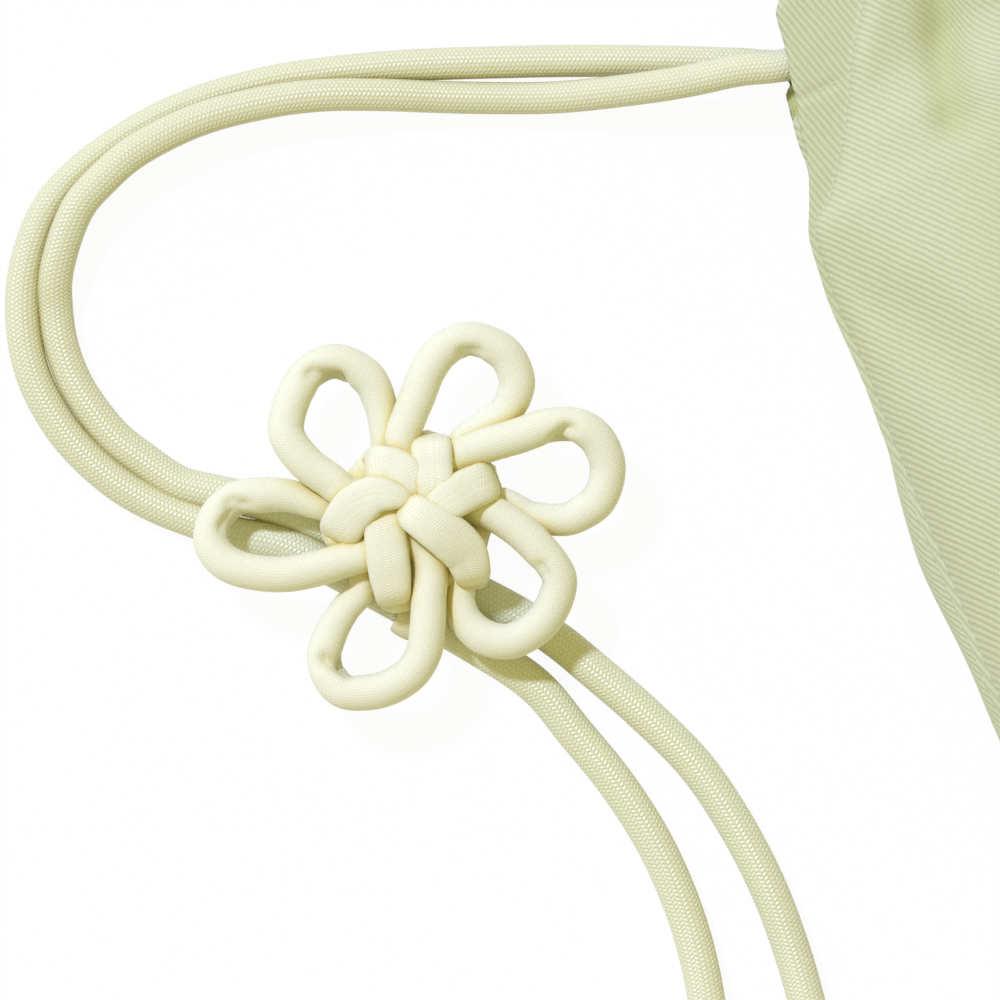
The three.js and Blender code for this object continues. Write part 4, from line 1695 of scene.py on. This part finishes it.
    def _sheet(
        self, name: str, rows: list[list[Vector]], weave: Weave, painted_shade: list[float]
    ) -> bpy.types.Object:
        """A sheet of cloth over a grid of points.

        Args:
            name: Name of the piece.
            rows: Points of the sheet's outside, row by row, in metres.
            weave: UV place, in metres of cloth, at a row and a column for the faces of a column.
            painted_shade: Share of painted shade at each point.

        Returns:
            The sheet, with its thickness.
        """
        count = len(rows[0])
        faces: Faces = []
        uvs: list[Point2] = []
        for i in range(len(rows) - 1):
            for j in range(count - 1):
                corners = ((i, j), (i + 1, j), (i + 1, j + 1), (i, j + 1))
                faces.append(tuple(a * count + b for a, b in corners))
                uvs += [weave(a, b, j) for a, b in corners]
        sheet = mesh_object(name, [p for row in rows for p in row], faces, uvs)
        store_painted_shade(sheet, painted_shade)
        thick = sheet.modifiers.new("thickness", "SOLIDIFY")
        thick.thickness = self.cloth
        thick.offset = -1.0
        return sheet

    def _front(self) -> None:
        """The front sheet, from inside the hem up, over the top fold and down to the bottom seam."""
        depths = self._turned_depths()
        rows = [self._front_row(depth, self._turned_height, self.inner_narrow) for depth in depths]
        fold = self.lip_gap / 2
        brim_row = self._front_row(-self.hem_above, self._front_height)
        for degrees in self.brim_degrees:
            a = math.radians(degrees)
            lower = Vector((0, fold * math.cos(a), fold * math.sin(a) - fold)) * MM
            rows.append([p + lower for p in brim_row])
        turned_in = len(rows)
        rows += [self._front_row(depth, self._front_height) for depth in self._rows()]
        strips = (self.strip_columns, len(rows[0]) - 1 - self.strip_columns)
        brim = CORD_EXIT.y + self.hem_above * MM

        def weave(i: int, j: int, column: int) -> Point2:
            """Cloth place: turned in the strips, and drawn along beside the gather.

            Args:
                i: Number of the row.
                j: Number of the point in its row.
                column: Number of the column whose face has the corner.

            Returns:
                The place, in metres of cloth.
            """
            u, v = rows[i][j].x, rows[i][j].y
            if i < turned_in:
                return u, 2 * brim - v
            a = self.strip_turn if column < strips[0] else -self.strip_turn
            if strips[0] <= column < strips[1]:
                a = self.weave_turn
                depth = (CORD_EXIT.y - v) / MM
                past = u / MM + self.hem_half - between(self.gather_line, depth)
                v += between(self.gather_shift, past) * (1 - ease(depth, *self.shift_until)) * MM
            return u * math.cos(a) - v * math.sin(a), u * math.sin(a) + v * math.cos(a)

        # Painted shade along the folds' bottoms, none on the turned-in rows.
        painted_shade = [0.0] * (turned_in * len(rows[0]))
        for point in (p for row in rows[turned_in:] for p in row):
            shares = self._fold_shares(point.x / MM, (CORD_EXIT.y - point.y) / MM)
            painted_shade.append(max((tone * share for _, tone, share in shares), default=0.0))
        sheet = self._sheet("front_twill", rows, weave, painted_shade)
        self.wardrobe.dress(sheet, Slot.TWILL, Body.BAG, "front_panel", "front_hem_facing")

    def _front_row(self, depth: float, height: Height, less: float = 0.0) -> list[Vector]:
        """One row of the front sheet.

        Args:
            depth: The row's depth.
            height: Height of the row's layer over place and depth.
            less: Share by which the layer is narrower below the brim.

        Returns:
            The row's points, in metres.
        """
        y = CORD_EXIT.y - depth * MM
        narrow = 1 - less * ease(depth, *self.narrow_from)
        return [Vector((x * narrow * MM, y, height(x, depth) * MM)) for x in self._columns(depth)]

    def _back_row(self, depth: float, gap: float, inset: float = 0.0) -> list[Vector]:
        """One row of the back sheet: down from one seam, across the floor and up to the other.

        Args:
            depth: The row's depth.
            gap: How far the row stands above the back's outside.
            inset: How far its ends lie inside the seams, for the layer that is turned in.

        Returns:
            The row's points, in metres.
        """
        half = self._half(depth) - self.mouth_in * (1 - ease(depth, *self.mouth_until)) - inset
        closed = ease(depth, *(self.inner_seam_from if inset else self.seam_from))
        seam = (between(self.edge_level, depth) - self.seam_under) * closed
        bulge = between(self.back_bulge, depth)
        welt = 0.0 if inset else between(self.welt, depth)
        shoulder = max(0.0, seam - between(self.welt_drop, depth))
        right: list[Point2] = [(half + mix(*self.seam_edge, closed), max(0.0, seam - self.seam_lip))]
        for i in range(self.arc_columns + 1):
            t = i / self.arc_columns
            drawn_in = mix(self.drawn_in[0] * t, self.drawn_in[1] * t * t, closed)
            swell = welt * (1 - t) ** self.welt_power + bulge * math.sin(math.pi * t**self.bulge_power)
            right.append((half + swell - drawn_in, shoulder * (1 - t) ** self.shoulder_power))
        inner = right[-1][0]
        points = list(right)
        points += [(inner - 2 * inner * i / self.flat_columns, 0.0) for i in range(1, self.flat_columns)]
        points += [(-x, z) for x, z in reversed(right)]
        rim = (between(self.edge_level, self.bottom) - self.seam_under) * ease(depth, *self.rim_from) ** 2
        y = CORD_EXIT.y - depth * MM
        return [Vector((x * MM, y, (max(z, rim) + gap) * MM)) for x, z in points]

    def _back(self) -> None:
        """The back sheet, from inside the hem up, over the top fold and down to the bottom seam."""
        rows: list[list[Vector]] = []
        for depth in self._turned_depths():
            inset = self.back_inset * ease(depth, *self.inset_from)
            rows.append(self._back_row(depth, between(self.back_gap, depth), inset))
        fold = self.lip_gap / 2
        for degrees in reversed(self.brim_degrees):
            a = math.radians(degrees)
            row = self._back_row(-self.hem_above, fold + fold * math.sin(a))
            rows.append([p + Vector((0, fold * math.cos(a) * MM, 0)) for p in row])
        rows += [self._back_row(depth, 0.0) for depth in self._rows()]
        across = [reaches(row) for row in rows]

        def weave(i: int, j: int, column: int) -> Point2:
            """Cloth place, measured along each row from its middle."""
            return across[i][j] - across[i][-1] / 2, rows[i][j].y

        # Painted shade on the back sheet inside the slit.
        top, end = self.slit
        painted_shade: list[float] = []
        for row in rows:
            depth = (CORD_EXIT.y - row[0].y) / MM
            slit_painted_shade = ease(depth, top - self.slit_shade_fade, top) * (1 - ease(depth, end, end + self.slit_shade_fade))
            painted_shade += [slit_painted_shade] * len(row)
        sheet = self._sheet("back_twill", rows, weave, painted_shade)
        self.wardrobe.dress(sheet, Slot.TWILL, Body.BAG, "back_panel", "back_hem_facing")

    def _stitch_points(self, x: float, side: Side) -> list[Vector]:
        """Rings of points of one stitch, thinner at its ends.

        Args:
            x: Its middle, across the bag.
            side: The layer that it lies on.

        Returns:
            The points, ring by ring, in metres.
        """
        points: list[Vector] = []
        for i in range(self.stitch_rings):
            t = i / (self.stitch_rings - 1) - 0.5
            along = x + t * self.stitch_pitch * self.stitch_share
            z = self._front_height(along, self.stitch_depth) if side is Side.FRONT else 0.0
            radius = self.stitch_radius * math.sqrt(max(self.stitch_tip, 1 - (2 * t) ** 2))
            for j in range(self.stitch_sides):
                a = 2 * math.pi * j / self.stitch_sides
                y = CORD_EXIT.y - (self.stitch_depth + radius * math.cos(a)) * MM
                points.append(Vector((along * MM, y, (z + radius * math.sin(a)) * MM)))
        return points

    def _stitches(self) -> None:
        """A row of stitches below the cord, in the back and in the front's strips. Folds hide the rest."""
        verts: list[Vector] = []
        faces: Faces = []
        strip = self._ridge_at(self.stitch_depth) - self.stitch_tuck
        for n in range(int(2 * (self.hem_half - self.stitch_margin) / self.stitch_pitch)):
            x = -self.hem_half + self.stitch_margin + self.stitch_pitch * (n + 0.5)
            hidden = self.hem_half - abs(x) > strip
            for side in (Side.BACK,) if hidden else Side:
                faces += ring_faces(len(verts), self.stitch_rings, self.stitch_sides, False)
                verts += self._stitch_points(x, side)
        uvs = [(0.0, 0.0)] * sum(len(face) for face in faces)
        stitches = mesh_object("hem_stitches", verts, faces, uvs)
        self.wardrobe.dress(stitches, Slot.TWILL, Body.BAG)


def main() -> None:
    """Loads the frame, sets up the studio and dresses the cord, the knot and the bag."""
    logging.basicConfig(level=logging.INFO, format="%(message)s")
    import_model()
    Studio().set_up()
    wardrobe = Wardrobe()
    Drawstring(wardrobe).build()
    FlowerKnot(wardrobe).build()
    Bag(wardrobe).build()


if __name__ == "__main__":
    main()
